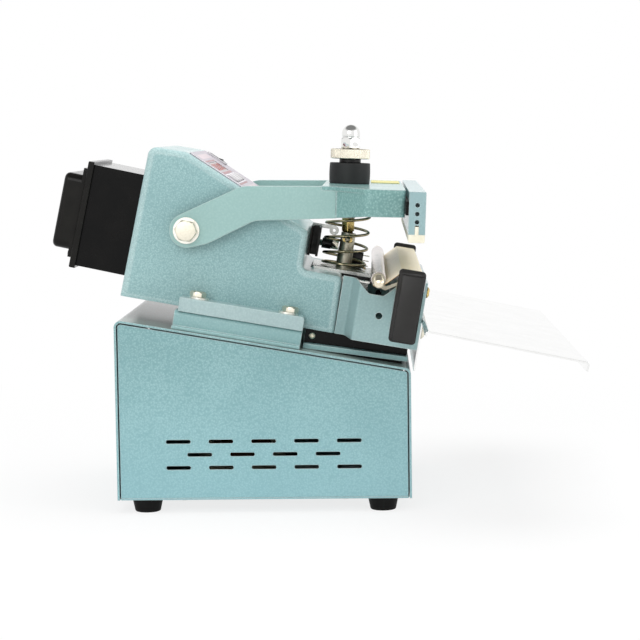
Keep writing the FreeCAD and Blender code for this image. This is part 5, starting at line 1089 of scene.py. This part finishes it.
place, tall, wide = on_rod("rubber_bush")
waist = []
for i in range(BULGE_STEPS + 1):
    short = BUSH_BULGE * (1 - math.sin(math.pi * i / BULGE_STEPS))
    waist.append((wide - short, BUSH_LIP + (tall - 2 * BUSH_LIP) * i / BULGE_STEPS))
bush_profile = [(ROD_RADIUS, 0), (wide - 0.9 * MM, 0), (wide - 0.4 * MM, 0.4 * MM), *waist,
                (wide - 0.4 * MM, tall - 0.4 * MM), (wide - 0.9 * MM, tall), (ROD_RADIUS, tall),
                (ROD_RADIUS, 0)]
add_piece("pressure_bush", turned(bush_profile, 72), bush_rubber, "press_arm", "rubber_bush", place,
          smooth=50)
print("rubber bush stands %.1f mm" % (tall / MM))

# %% Knurled nut
KNURLS = 64
# A ridge's radius is a share of half its pitch, and a share of that radius stands out of the rim
RIDGE_SHARE, RIDGE_PROUD = 0.62, 0.75
NUT_BEVEL = 0.6 * MM

place, tall, wide = on_rod("knurled_nut")
ridge = math.pi * wide / KNURLS * RIDGE_SHARE
rim = wide - ridge * RIDGE_PROUD
bore = ROD_RADIUS + 0.3 * MM
nut_profile = [(bore, 0), (rim - NUT_BEVEL, 0), (rim, NUT_BEVEL), (rim, tall - NUT_BEVEL),
               (rim - NUT_BEVEL, tall), (ROD_RADIUS + 5 * MM, tall), (ROD_RADIUS + 4 * MM, tall - MM),
               (bore, tall - MM), (bore, 0)]
body = turned(nut_profile, 80)
for vertex in body.verts:
    vertex.co.z -= NUT_BEVEL
mesh = grown(ring_tree, {"Count": KNURLS, "Radius": wide - ridge, "Ridge": ridge,
                         "Height": tall - 2 * NUT_BEVEL, "Finish": nickel}, plain_mesh("nut_blank", body))
add_piece("pressure_nut", mesh, nickel, "pressure_nut", "knurled_nut",
          place @ Matrix.Translation((0, 0, NUT_BEVEL)))
print("knurled nut is %.1f mm across" % (2 * wide / MM))

# %% Domed nut and collar
COLLAR = 3.7 * MM
COLLAR_BEVEL = 0.4 * MM
FLATS = 17.8 * MM
HEX_HEIGHT = 10.6 * MM
DOME_STEPS = 14

nut_low, nut_high = reach("acorn_nut", ARM)
nut_foot = reach("knurled_nut", ARM)[1].z
tall = nut_high.z - nut_foot
corner = FLATS / math.sqrt(3)
neck = FLATS / 2 - 0.9 * MM
cap = FLATS / 2 - 0.25 * MM
dome = []
for i in range(DOME_STEPS):
    angle = math.pi / 2 * i / DOME_STEPS
    dome.append((cap * math.cos(angle), tall - cap * (1 - math.sin(angle))))
acorn_profile = [(0, 0), (FLATS / 2 - 0.2 * MM, 0), (corner, 0.9 * MM), (corner, HEX_HEIGHT - 1.4 * MM),
                 (FLATS / 2 - 0.1 * MM, HEX_HEIGHT - 0.2 * MM), (neck, HEX_HEIGHT),
                 (neck, HEX_HEIGHT + 0.8 * MM), (cap, HEX_HEIGHT + 1.3 * MM), *dome, (0, tall)]
add_piece("domed_nut", turned(acorn_profile, 96, FLATS), chrome, "press_arm", "acorn_nut",
          ARM @ Matrix.Translation((rod_axis, 0, nut_foot)))

collar_low = reach("rubber_bush", ARM)[1].z
wide = (nut_high.y - nut_low.y) / 2
collar_profile = [(ROD_RADIUS, 0), (wide - COLLAR_BEVEL, 0), (wide, COLLAR_BEVEL),
                  (wide, COLLAR - COLLAR_BEVEL), (wide - COLLAR_BEVEL, COLLAR), (ROD_RADIUS, COLLAR),
                  (ROD_RADIUS, 0)]
add_piece("bush_collar", turned(collar_profile, 64), gloss_black, "press_arm", "acorn_nut",
          ARM @ Matrix.Translation((rod_axis, 0, collar_low)))
print("domed nut stands %.1f mm" % (tall / MM))

# %% [markdown]
# ## Pieces that come apart
#
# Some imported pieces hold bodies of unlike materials, such as brass beside steel.
# They keep their shapes and are only copied apart, each picked by its own size.


# %% Copied bodies
def copy_bodies(name, node, finish, body, test):
    """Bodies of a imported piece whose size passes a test, as a piece with its own finish."""
    add_piece(name, bodies_where(node, test), finish, body, node)


copy_bodies("inlet_pins", "rear_sockets", nickel, "base", lambda size: size.y < 3 * MM)
copy_bodies("socket_housings", "rear_sockets", gloss_black, "base", lambda size: size.y > 3 * MM)
copy_bodies("transformer_core", "transformer", machined, "base", lambda size: size.x > 60 * MM)
copy_bodies("circuit_board", "control_board", board_green, "base", lambda size: size.x > 40 * MM)
copy_bodies("digit_carrier", "control_board", key_plastic, "base", lambda size: size.x < 40 * MM < size.y)
copy_bodies("board_posts", "control_board", nickel, "base", lambda size: size.y < 5.5 * MM)
copy_bodies("key_switches", "control_board", gloss_black, "base", lambda size: 5.5 * MM < size.y < 10 * MM)
copy_bodies("guide_rod", "roller_rod", rod_steel, "base", lambda size: size.y > 100 * MM)
copy_bodies("rod_hangers", "roller_rod", machined, "base", lambda size: size.y < 100 * MM)
copy_bodies("tongue_end", "rod_clevis", brass, "press_arm", lambda size: size.z > 10 * MM)
copy_bodies("fork_pin", "rod_clevis", machined, "press_arm", lambda size: size.z < 10 * MM)
copy_bodies("yoke_plates", "yoke_stack", magnet_steel, "base", lambda size: size.y > 84 * MM)
copy_bodies("yoke_spacer", "yoke_stack", cap_plastic, "base", lambda size: size.y < 84 * MM)
copy_bodies("guide_channel", "throat_fittings", black_zinc, "base", lambda size: size.y > 20 * MM)
copy_bodies("stud_sleeve", "throat_fittings", gloss_black, "base", lambda size: 9 * MM < size.y < 20 * MM)
copy_bodies("stop_stud", "throat_fittings", nickel, "base", lambda size: 4 * MM < size.y < 9 * MM)
copy_bodies("holed_plate", "throat_fittings", magnet_steel, "base", lambda size: size.y < 4 * MM)
copy_bodies("pivot_washers", "pivot_bolts", washer_zinc, "base", lambda size: size.y < 3 * MM)
copy_bodies("rail_washers", "rail_bolts", washer_zinc, "base", lambda size: size.z < 6 * MM)
print("copied pieces ready")

# %% [markdown]
# ## Hexagon bolts
#
# A hexagon head is turned off at its upper corners. Under it stands a thin round
# face, smaller than the flats, so a dark line shows between the head and its washer.
# Each bolt is one turned body held in to a hexagon at its head and at its nut.

# %% Hexagon bolts
THREAD_END = 1.0 * MM
FACE_SHARE, FACE_HEIGHT = 0.92, 0.7 * MM


def hexagon_bolt(flats, head, shank_radius, nut, length):
    """Bolt with its nut, from the nut's end at zero to the top of the head at its length."""
    corner = flats / math.sqrt(3)
    seat = length - head
    thread = shank_radius - 0.3 * MM
    face = FACE_SHARE * flats / 2
    bolt_end = [(0, -THREAD_END), (thread, -THREAD_END), (thread, 0)]
    hex_nut = [(corner - 0.7 * MM, 0), (corner, 0.5 * MM), (corner, nut)]
    shank = [(shank_radius, nut), (shank_radius, seat), (face, seat), (face, seat + FACE_HEIGHT)]
    hex_head = [(corner - 0.3 * MM, seat + FACE_HEIGHT), (corner, seat + 1.0 * MM),
                (corner, length - 1.1 * MM), (flats / 2 - 0.2 * MM, length - 0.1 * MM),
                (flats / 2 - 1.0 * MM, length), (0, length)]
    return turned([*bolt_end, *hex_nut, *shank, *hex_head], 96, flats)


low, high = reach("pivot_bolts", SLOPE)
PIVOT_BOLT = {"flats": 18 * MM, "head": 7.5 * MM, "shank_radius": 6 * MM, "nut": 10 * MM, "length": 36.6 * MM}
corners_along = Matrix.Rotation(math.radians(30), 4, "Z")
for name, side in (("near", -1), ("far", 1)):
    outward = Matrix.Rotation(math.radians(-90 * side), 4, "X")
    foot = Matrix.Translation((0, side * (high.y - PIVOT_BOLT["length"]), 0))
    add_piece("pivot_bolt_" + name, hexagon_bolt(**PIVOT_BOLT), bolt_zinc, "base", "pivot_bolts",
              SLOPE @ foot @ outward @ corners_along, smooth=25)

low, high = reach("rail_bolts", SLOPE)
RAIL_BOLT = {"flats": 13 * MM, "head": 5.3 * MM, "shank_radius": 4 * MM, "nut": 6.5 * MM, "length": 29.1 * MM}
flat_half = RAIL_BOLT["flats"] / 2
corner_half = flat_half / math.cos(math.radians(30))
for rail_end, along in (("rear", low.x + corner_half), ("front", high.x - corner_half)):
    for name, side in (("near", -1), ("far", 1)):
        foot = Matrix.Translation((along, side * (high.y - flat_half), high.z - RAIL_BOLT["length"]))
        add_piece("rail_bolt_%s_%s" % (rail_end, name), hexagon_bolt(**RAIL_BOLT), bolt_zinc, "base",
                  "rail_bolts", SLOPE @ foot @ corners_along, smooth=25)
print("bolts across their flats: %.0f and %.0f mm" % (PIVOT_BOLT["flats"] / MM, RAIL_BOLT["flats"] / MM))

# %% [markdown]
# ## Cooling slots and end caps
#
# A punch rolls the edges of the cooling slots inwards, so each slot looks a little
# larger than its hole. The side panels are copied and the points round each slot
# are drawn outwards. The moulded end caps have a raised face with a ledge round it.

# %% Side panels with rolled slots
SLOT_ROWS = 3
# Height of the first row, between rows and of the band round a row that holds its points
FIRST_ROW, ROW_PITCH, ROW_BAND = 41.3 * MM, 11.9 * MM, 1.6 * MM
SLOT_HALF, SLOT_PITCH = 10.8 * MM, 38.6 * MM
SLOT_TALLER, SLOT_LONGER = 1.26, 0.3 * MM

panels = bodies_where("cabinet_sides", lambda size: True)
rows = [[] for row in range(SLOT_ROWS)]
for vertex in panels.verts:
    row = round((vertex.co.z - FIRST_ROW) / ROW_PITCH)
    if 0 <= row < SLOT_ROWS and abs(vertex.co.z - FIRST_ROW - row * ROW_PITCH) < ROW_BAND:
        rows[row].append(vertex)
for row, ring in enumerate(rows):
    middle = FIRST_ROW + row * ROW_PITCH
    first = min(vertex.co.x for vertex in ring) + SLOT_HALF
    for vertex in ring:
        centre = first + SLOT_PITCH * round((vertex.co.x - first) / SLOT_PITCH)
        vertex.co.z = middle + SLOT_TALLER * (vertex.co.z - middle)
        vertex.co.x += math.copysign(SLOT_LONGER, vertex.co.x - centre)
add_piece("slotted_sides", panels, cabinet_enamel, "base", "cabinet_sides", smooth=3)
print("slot points in the three rows:", [len(ring) for ring in rows])

# %% Stepped end caps
STEP = 2.6 * MM
# Points this near the outer face are moved in, and the raised face stands this deep in the ledge
CAP_OUTSIDE, FACE_ROOT = 2.1 * MM, 1.5 * MM
LEDGE_REAR, LEDGE_FRONT, LEDGE_BELOW, LEDGE_ABOVE = 3.2 * MM, 1.2 * MM, 2.0 * MM, 4.6 * MM
FACE_EDGE = 0.8 * MM

caps = bodies_where("jaw_caps", lambda size: True)
cap_low, cap_high = reach("jaw_caps", SLOPE)
level_again = SLOPE.inverted()
for vertex in caps.verts:
    spot = level_again @ vertex.co
    if abs(spot.y) > cap_high.y - CAP_OUTSIDE:
        spot.y -= math.copysign(STEP, spot.y)
        vertex.co = SLOPE @ spot
faces = []
for side in (-1, 1):
    inner, outer = side * (cap_high.y - STEP - FACE_ROOT), side * cap_high.y
    face = rounded_block((cap_low.x + LEDGE_REAR, min(inner, outer), cap_low.z + LEDGE_BELOW),
                         (cap_high.x - LEDGE_FRONT, max(inner, outer), cap_high.z - LEDGE_ABOVE),
                         FACE_EDGE)
    face.transform(SLOPE)
    faces.append(face)
add_piece("stepped_caps", together([caps, *faces]), cap_plastic, "base", "jaw_caps", smooth=25)
print("cap face stands %.1f mm proud" % (STEP / MM))

# %% [markdown]
# ## Blanking plug and small switch
#
# The bracket's far hole is closed by a small plug, so no light comes through there.
# The limit switch in the throat is a moulded case with three blades below, a
# spring leaf over it and a pip under the leaf.

# %% Blanking plug
# Radius and height of each point of the plug's profile in millimetres
PLUG = [(0, -3.0), (2.9, -3.0), (2.9, 0), (4.2, 0), (4.2, 0.6), (3.6, 1.0), (0, 1.0)]
PLUG_BEHIND = 21.4 * MM
PLUG_LEVEL = -46.6 * MM

jaw_low, jaw_high = reach("lower_jaw", SLOPE)
wall = reach("lower_bracket", SLOPE)[1].y
plug = turned([(radius * MM, height * MM) for radius, height in PLUG], 32)
foot = Matrix.Translation(((jaw_low.x + jaw_high.x) / 2 - PLUG_BEHIND, wall, PLUG_LEVEL))
outward = Matrix.Rotation(math.radians(-90), 4, "X")
add_piece("blanking_plug", plug, gloss_black, "base", "lower_bracket", SLOPE @ foot @ outward,
          replace=False)
print("plug in the bracket's far hole, %.0f mm behind the jaw" % (PLUG_BEHIND / MM))

# %% Small switch
CASE_LONG, CASE_UNDER_TOP = 13 * MM, 2.2 * MM
BLADES, BLADE_THICK, BLADE_INSET = (1.5 * MM, 6.5 * MM, 11.5 * MM), 0.9 * MM, 3 * MM

low, high = reach("limit_switch", SLOPE)
case_end = low.x + CASE_LONG
case = rounded_block((low.x, low.y, low.z), (case_end, high.y, high.z - CASE_UNDER_TOP), 0.5 * MM)
add_piece("switch_case", case, gloss_black, "base", "limit_switch", SLOPE)
blades = [rounded_block((case_end - MM, low.y + BLADE_INSET, low.z + rise),
                        (high.x, high.y - BLADE_INSET, low.z + rise + BLADE_THICK), 0.2 * MM, 1)
          for rise in BLADES]
spring_leaf = rounded_block((low.x + MM, low.y + BLADE_INSET, high.z - 1.0 * MM),
                            (case_end, high.y - BLADE_INSET, high.z - 0.5 * MM), 0.15 * MM, 1)
plunger_pip = rounded_block((low.x + 8 * MM, low.y + 4 * MM, high.z - 2.6 * MM),
                            (low.x + 10 * MM, high.y - 4 * MM, high.z - 0.9 * MM), 0.3 * MM, 2)
add_piece("switch_blades", together([*blades, spring_leaf, plunger_pip]), nickel, "base",
          "limit_switch", SLOPE)
print("switch blades:", len(blades))

# %% [markdown]
# ## Windings
#
# Under the yoke the magnet's coil is wound in even layers with rounded ends, and
# so is the transformer's in the cabinet. One tree sweeps a turn of wire round a
# rounded rectangle and stacks it as often as the coil is high, over a plain former
# that fills the space behind the wire.

# %% Winding tree
winding_tree, size = new_tree("stacked_turns", {
    "Width": "Float", "Depth": "Float", "Corner": "Float", "Wire Radius": "Float", "Turns": "Int",
    "Finish": "Material"})
loop = add_node(winding_tree, "GeometryNodeCurvePrimitiveQuadrilateral",
                {"Width": size["Width"], "Height": size["Depth"]})
rounded = add_node(winding_tree, "GeometryNodeFilletCurve",
                   {"Curve": loop.outputs["Curve"], "Radius": size["Corner"], "Count": 7}, mode="POLY")
wire = add_node(winding_tree, "GeometryNodeCurvePrimitiveCircle",
                {"Resolution": 8, "Radius": size["Wire Radius"]})
turn_mesh = add_node(winding_tree, "GeometryNodeCurveToMesh",
                     {"Curve": rounded.outputs["Curve"], "Profile Curve": wire.outputs["Curve"]})
across_wire = add_node(winding_tree, "ShaderNodeMath", {0: size["Wire Radius"], 1: 2.0},
                       operation="MULTIPLY")
pitch = add_node(winding_tree, "ShaderNodeCombineXYZ", {"Z": across_wire.outputs["Value"]})
stack = add_node(winding_tree, "GeometryNodeMeshLine",
                 {"Count": size["Turns"], "Offset": pitch.outputs["Vector"]})
stacked = add_node(winding_tree, "GeometryNodeInstanceOnPoints",
                   {"Points": stack.outputs["Mesh"], "Instance": turn_mesh.outputs["Mesh"]})
joined = add_node(winding_tree, "GeometryNodeJoinGeometry", {"Geometry": stacked.outputs["Instances"]})
winding_tree.links.new(size["Geometry"], joined.inputs["Geometry"])
end_tree(winding_tree, joined.outputs["Geometry"], size["Finish"])
print("winding tree nodes:", len(winding_tree.nodes))


# %% Magnet winding
def add_winding(name, node, half, former, wire, corner, turns, place):
    """A winding with rounded ends on its former; half is half the size of the whole winding."""
    sizes = {"Width": 2 * (half.x - wire), "Depth": 2 * (half.y - wire), "Corner": corner,
             "Wire Radius": wire, "Turns": turns, "Finish": enamelled_wire}
    mesh = grown(winding_tree, sizes, plain_mesh("former", former))
    add_piece(name, mesh, enamelled_wire, "base", node, place)
    print(name, "turns shown:", turns)


COIL_WIRE = 0.7 * MM
COIL_BORE = 7.8 * MM
# A round former is made square by growing it and holding its outside in
GROWTH, OUTSIDE_FROM = 1.6, 1.5 * COIL_BORE

low, high = reach("magnet_coil", SLOPE)
half = (high - low) / 2
inner_x, inner_y = half.x - 2 * COIL_WIRE, half.y - 2 * COIL_WIRE
former = turned([(COIL_BORE, 0), (inner_y, 0), (inner_y, 2 * half.z), (COIL_BORE, 2 * half.z),
                 (COIL_BORE, 0)], 48)
for vertex in former.verts:
    if vertex.co.xy.length > OUTSIDE_FROM:
        vertex.co.x = max(-inner_x, min(inner_x, vertex.co.x * GROWTH))
        vertex.co.y = max(-inner_y, min(inner_y, vertex.co.y * GROWTH))
    vertex.co.z -= COIL_WIRE
add_winding("magnet_winding", "magnet_coil", half, former, COIL_WIRE, 7 * MM,
            int((2 * half.z - COIL_WIRE) / (2 * COIL_WIRE)),
            SLOPE @ Matrix.Translation(((low.x + high.x) / 2, 0, low.z + COIL_WIRE)))

# %% Transformer winding
MAINS_WIRE = 0.8 * MM
CORE_LONG = 60 * MM

former = bodies_where("transformer", lambda size: size.x < CORE_LONG)
low, high = corners_of([vertex.co for vertex in former.verts])
middle, half = (low + high) / 2, (high - low) / 2
for vertex in former.verts:
    vertex.co -= middle
    for i in (0, 1):
        within = half[i] - 2 * MAINS_WIRE
        vertex.co[i] = max(-within, min(within, vertex.co[i]))
    vertex.co.z += half.z - MAINS_WIRE
add_winding("mains_winding", "transformer", half, former, MAINS_WIRE, 6 * MM, int(half.z / MAINS_WIRE),
            Matrix.Translation((middle.x, middle.y, low.z + MAINS_WIRE)))

# %% [markdown]
# ## Control panel
#
# The overlay is a printed film with a tinted field and line frames, and with white strips along its two long
# edges that are painted highlights.
# The display window shows dim seven-bar digits. The keys carry only a plain sign:
# less, more, a triangle and a ring.

# %% Overlay and its prints
PRINT = 0.06 * MM
film_low, film_high = reach("control_panel", PANEL)
print("overlay %.0f by %.0f mm" % tuple((film_high - film_low).yx / MM))


def printed(name, colour, faded, boxes):
    """Ink of one colour, given as boxes (low and high along, low and high across) in millimetres."""
    ink = moulded(name, colour, faded, 0.45, grain=0.8, relief=0.01, edge=0.2, shine=0.3)
    blocks = [rounded_block((a * MM, c * MM, film_high.z - PRINT), (b * MM, d * MM, film_high.z + PRINT),
                            0.03 * MM, 1) for a, b, c, d in boxes]
    add_piece(name, together(blocks), ink, "base", "control_panel", PANEL, replace=False)


def frame_lines(a, b, c, d, line=0.8):
    """The four boxes of a line frame round a field."""
    return [(a, a + line, c, d), (b - line, b, c, d), (a, b, c, c + line), (a, b, d - line, d)]


# Screen inks: opaque and matt, each a little faded in patches
# The two white strips along the near and far edges are painted highlights of the folds there; the frame round
# the field is print.
printed("white_frame_ink_and_edge_highlights", "#fbfafc", "#f0eef2",
        [(0.6, 67.4, -84.6, -81.4), (0.6, 67.4, 80.5, 82.4), *frame_lines(38, 52, -74, 35)])
printed("grey_line_ink", "#a9a7b0", "#9c9aa4", [(0.6, 67.4, 83.0, 84.6)])
printed("tinted_field_ink", "#a98487", "#b5979a",
        [(15, 17, -68, 28), (34, 37, -70, 30), (53, 55, -70, 30)])
printed("pale_field_ink", "#d9ccd0", "#cdc0c5", [(5, 12, -60, 40), (59, 64.5, -72, 60)])
printed("white_dot_ink", "#ffffff", "#f2f2f2", [(61, 63, y, y + 2) for y in range(-60, 40, 12)])

# %% [markdown]
# ## Digits and signs
#
# A digit is seven bars. Each bar is placed by the halves of a digit above it and
# the digit widths left of it. A bar that lies flat starts a little in from the side,
# and an upright one a little down. The signs are thin raised shapes on the keys.

# %% Dim digits
DIGITS, FIRST_DIGIT, DIGIT_PITCH = 7, 5.0, 12.3
DIGIT_TOP, DIGIT_HALF, DIGIT_WIDE = 2.6, 4.7, 5.6
# Where the bar starts and how large it is, down and across, in millimetres
FLAT, UPRIGHT = ((0, 0.7), (0.8, 5.0)), ((0.8, 0), (3.9, 0.8))
BARS = {"top": (0, 0, FLAT), "middle": (1, 0, FLAT), "foot": (2, 0, FLAT),
        "upper left": (0, 0, UPRIGHT), "upper right": (0, 1, UPRIGHT),
        "lower left": (1, 0, UPRIGHT), "lower right": (1, 1, UPRIGHT)}
BAR_SUNK, BAR_PROUD = 0.1 * MM, 0.08 * MM

window_low, window_high = reach("display_window", PANEL)
# Unlit digits behind the acrylic: a dull red
digit_ink = moulded("dim_digit_red", "#c2483c", "#a83a30", 0.4, relief=0.01, edge=0.2)
bars = []
for digit in range(DIGITS):
    for halves, widths, (start, size) in BARS.values():
        down = window_low.x + (DIGIT_TOP + DIGIT_HALF * halves + start[0]) * MM
        across = window_low.y + (FIRST_DIGIT + DIGIT_PITCH * digit + DIGIT_WIDE * widths + start[1]) * MM
        bars.append(rounded_block((down, across, window_high.z - BAR_SUNK),
                                  (down + size[0] * MM, across + size[1] * MM, window_high.z + BAR_PROUD),
                                  0.05 * MM, 1))
add_piece("digit_bars", together(bars), digit_ink, "base", "display_window", PANEL, replace=False)
print("digit bars:", DIGITS * len(BARS))

# %% Key signs
SIGN_THICK, SIGN_SUNK = 0.3 * MM, 0.12 * MM
SIGN_LONG, SIGN_LINE = 6 * MM, 1.2 * MM
SIGN_RADIUS, RING_INSIDE = 3 * MM, 2 * MM
# Pad-printed signs: an off-white ink with a soft gloss
sign_ink = moulded("sign_white", "#f4f4f2", "#e6e6e4", 0.45, relief=0.01, edge=0.2)


def key_sign(number, shape):
    """Raised white sign on one key; the shape stands at the middle of the key's top."""
    low, high = reach("push_button_%d" % number, PANEL)
    spot = Matrix.Translation(((low.x + high.x) / 2, (low.y + high.y) / 2, high.z - SIGN_SUNK))
    add_piece("key_sign_%d" % number, shape, sign_ink, "button_%d" % number, "push_button_%d" % number,
              PANEL @ spot, replace=False)


def bar(long, wide):
    """Flat bar of a sign, centred on the key, long across it."""
    return rounded_block((-wide / 2, -long / 2, 0), (wide / 2, long / 2, SIGN_THICK), 0.05 * MM, 1)


less = bar(SIGN_LONG, SIGN_LINE)
more = together([bar(SIGN_LONG, SIGN_LINE), bar(SIGN_LINE, SIGN_LONG)])
triangle = turned([(0, 0), (SIGN_RADIUS, 0), (SIGN_RADIUS, SIGN_THICK), (0, SIGN_THICK)], 3)
ring = turned([(RING_INSIDE, 0), (SIGN_RADIUS, 0), (SIGN_RADIUS, SIGN_THICK), (RING_INSIDE, SIGN_THICK),
               (RING_INSIDE, 0)], 28)
for number, shape in enumerate((less, more, triangle, ring), 1):
    key_sign(number, shape)
print("key signs: 4")

# %% [markdown]
# ## Anti-stick cloth
#
# Glass cloth with an anti-stick coat lies over the heating band. It comes off
# the guide roller, is drawn tight over the lower jaw's rounded corners and is
# clamped on the front. It is one thin sheet, swept along the jaw, so its line is
# written as runs and corners and then given the cloth's thickness. Its UV map
# runs in metres along and across the cloth, for the weave.

# %% Cloth line
CLOTH = 0.4 * MM
CLOTH_DROP = 14.0 * MM
CLOTH_CORNER = 2.2 * MM
CLOTH_STEPS = 78
WRAP = math.radians(80)

jaw_low, jaw_high = reach("lower_jaw", SLOPE)
tube_low, tube_high = reach("cloth_roller", SLOPE)
cloth_low, cloth_high = reach("ptfe_cloth", SLOPE)
tube_middle = (tube_low + tube_high) / 2
wrap_radius = (tube_high.x - tube_low.x) / 2 + 0.3 * MM + CLOTH / 2
level = cloth_high.z - CLOTH / 2
rear = jaw_low.x - CLOTH / 2 - 0.1 * MM
front = cloth_high.x - CLOTH / 2


def arc(x, z, radius, start, end, steps):
    """Points of an arc in the cloth's line between two angles."""
    turns = [start + (end - start) * i / steps for i in range(steps + 1)]
    return [(x + radius * math.cos(turn), z + radius * math.sin(turn)) for turn in turns]


def run(start, end, steps):
    """Points between the ends of a straight run, without its ends."""
    return [(start[0] + (end[0] - start[0]) * i / steps, start[1] + (end[1] - start[1]) * i / steps)
            for i in range(1, steps)]


# The cloth leaves the tube from underneath and turns the other way over the jaw
bend_x, bend_z = rear + CLOTH_CORNER, level - CLOTH_CORNER
between = Vector((bend_x - tube_middle.x, bend_z - tube_middle.z))
climb = math.atan2(between.y, between.x) + math.asin((wrap_radius + CLOTH_CORNER) / between.length)
quarter = math.pi / 2
off_tube = arc(tube_middle.x, tube_middle.z, wrap_radius, climb - quarter - WRAP, climb - quarter, 10)
over_rear = arc(bend_x, bend_z, CLOTH_CORNER, climb + quarter, quarter, 5)
over_front = arc(front - CLOTH_CORNER, bend_z, CLOTH_CORNER, quarter, 0, 7)
hem = (front, level - CLOTH_DROP)
cloth_line = [*off_tube, *run(off_tube[-1], over_rear[0], 6), *over_rear,
              *run(over_rear[-1], over_front[0], 6), *over_front, *run(over_front[-1], hem, 4), hem]
cloth_runs = [0.0]
for here, there in zip(cloth_line, cloth_line[1:]):
    cloth_runs.append(cloth_runs[-1] + math.dist(here, there))
cloth_width = cloth_high.y - cloth_low.y

# %% [markdown]
# ## The cloth's look
#
# Cream threads cross under the coat, with pale tan stains in it. The heating band
# has yellowed it from the jaw's rear corner on, and the near side edge is scorched
# brown. A real thread is 0.3 mm wide, drawn here four times as wide so that it shows.

# %% Woven finish
# At scale 1 a wave texture turns by this many radians in a unit, and a thread is half a wave
WAVE_RADIANS, HALF_WAVE = 20, 3.14
STAINED, YELLOWED, SCORCHED = "#dccba6", "#fbf0cf", "#a47a35"


def coated_weave(name, warp, weft, hot_start, thread=1.2):
    """Anti-stick coated glass cloth; thread is in millimetres, hot_start in metres along the cloth."""
    material, tree, shader = new_material(name)
    place = add_node(tree, "ShaderNodeUVMap", uv_map="cloth").outputs["UV"]
    along, across = (add_node(tree, "ShaderNodeTexWave",
                              {"Vector": place, "Scale": HALF_WAVE / (WAVE_RADIANS * thread * MM),
                               "Distortion": 0.6}, bands_direction=way) for way in ("X", "Y"))
    checks = add_node(tree, "ShaderNodeTexChecker", {"Vector": place, "Scale": 1 / (thread * MM)})
    weave = add_node(tree, "ShaderNodeMix", {0: checks.outputs["Fac"], 2: along.outputs["Fac"],
                                             3: across.outputs["Fac"]}).outputs[0]
    stain = add_node(tree, "ShaderNodeTexNoise", {"Vector": place, "Scale": 1 / (22 * MM), "Detail": 4.0})
    stained = add_node(tree, "ShaderNodeMapRange", {"Value": stain.outputs["Fac"], "From Min": 0.5,
                                                    "From Max": 0.75, "To Max": 0.45})
    threads = add_node(tree, "ShaderNodeMix", {FACTOR: weave, FIRST: linear(warp), SECOND: linear(weft)},
                       data_type="RGBA")
    aged = add_node(tree, "ShaderNodeMix", {FACTOR: stained.outputs["Result"], FIRST: threads.outputs[MIXED],
                                            SECOND: linear(STAINED)}, data_type="RGBA")
    split = add_node(tree, "ShaderNodeSeparateXYZ", {"Vector": place})
    hot = add_node(tree, "ShaderNodeMapRange", {"Value": split.outputs["Y"], "From Min": hot_start - 3 * MM,
                                                "From Max": hot_start + 2 * MM, "To Max": 0.75})
    yellowed = add_node(tree, "ShaderNodeMix", {FACTOR: hot.outputs["Result"], FIRST: aged.outputs[MIXED],
                                                SECOND: linear(YELLOWED)}, data_type="RGBA")
    edge = add_node(tree, "ShaderNodeMapRange", {"Value": split.outputs["X"], "From Min": 1.2 * MM,
                                                 "From Max": 3 * MM, "To Min": 0.8, "To Max": 0.0})
    burnt = add_node(tree, "ShaderNodeMix", {FACTOR: edge.outputs["Result"], FIRST: yellowed.outputs[MIXED],
                                             SECOND: linear(SCORCHED)}, data_type="RGBA")
    bump = add_node(tree, "ShaderNodeBump", {"Height": weave, "Distance": 0.05 * MM, "Strength": 0.5})
    feed(tree, shader, {"Base Color": burnt.outputs[MIXED], "Roughness": 0.38,
                        "Normal": bump.outputs["Normal"], "IOR": 1.38})
    return material


# The yellowed part starts on the rear corner, this many points past the tube
HOT_POINT = 8
hot_start = cloth_runs[len(off_tube) + HOT_POINT]
# Coated glass cloth: cream threads under a soft waxy gloss
release_cloth = coated_weave("coated_glass_cloth", "#fff3da", "#fbeaca", hot_start)
print("yellowed band starts %.1f mm along the cloth" % (hot_start / MM))

# %% Cloth sheet
sheet = bmesh.new()
uv = sheet.loops.layers.uv.new("cloth")
rows = []
for step in range(CLOTH_STEPS + 1):
    y = cloth_low.y + cloth_width * step / CLOTH_STEPS
    rows.append([sheet.verts.new((x, y, z)) for x, z in cloth_line])
for step in range(CLOTH_STEPS):
    for i in range(len(cloth_line) - 1):
        face = sheet.faces.new((rows[step][i], rows[step][i + 1],
                                rows[step + 1][i + 1], rows[step + 1][i]))
        across = (step, step, step + 1, step + 1)
        along = (i, i + 1, i + 1, i)
        for loop, far_across, far_along in zip(face.loops, across, along):
            loop[uv].uv = (cloth_width * far_across / CLOTH_STEPS, cloth_runs[far_along])
cloth = add_piece("release_cloth", sheet, release_cloth, "base", "ptfe_cloth", SLOPE, smooth=60)
thick = cloth.modifiers.new("thickness", "SOLIDIFY")
thick.thickness = CLOTH
thick.offset = 0.0
print("cloth faces before it is thickened:", len(cloth.data.polygons))
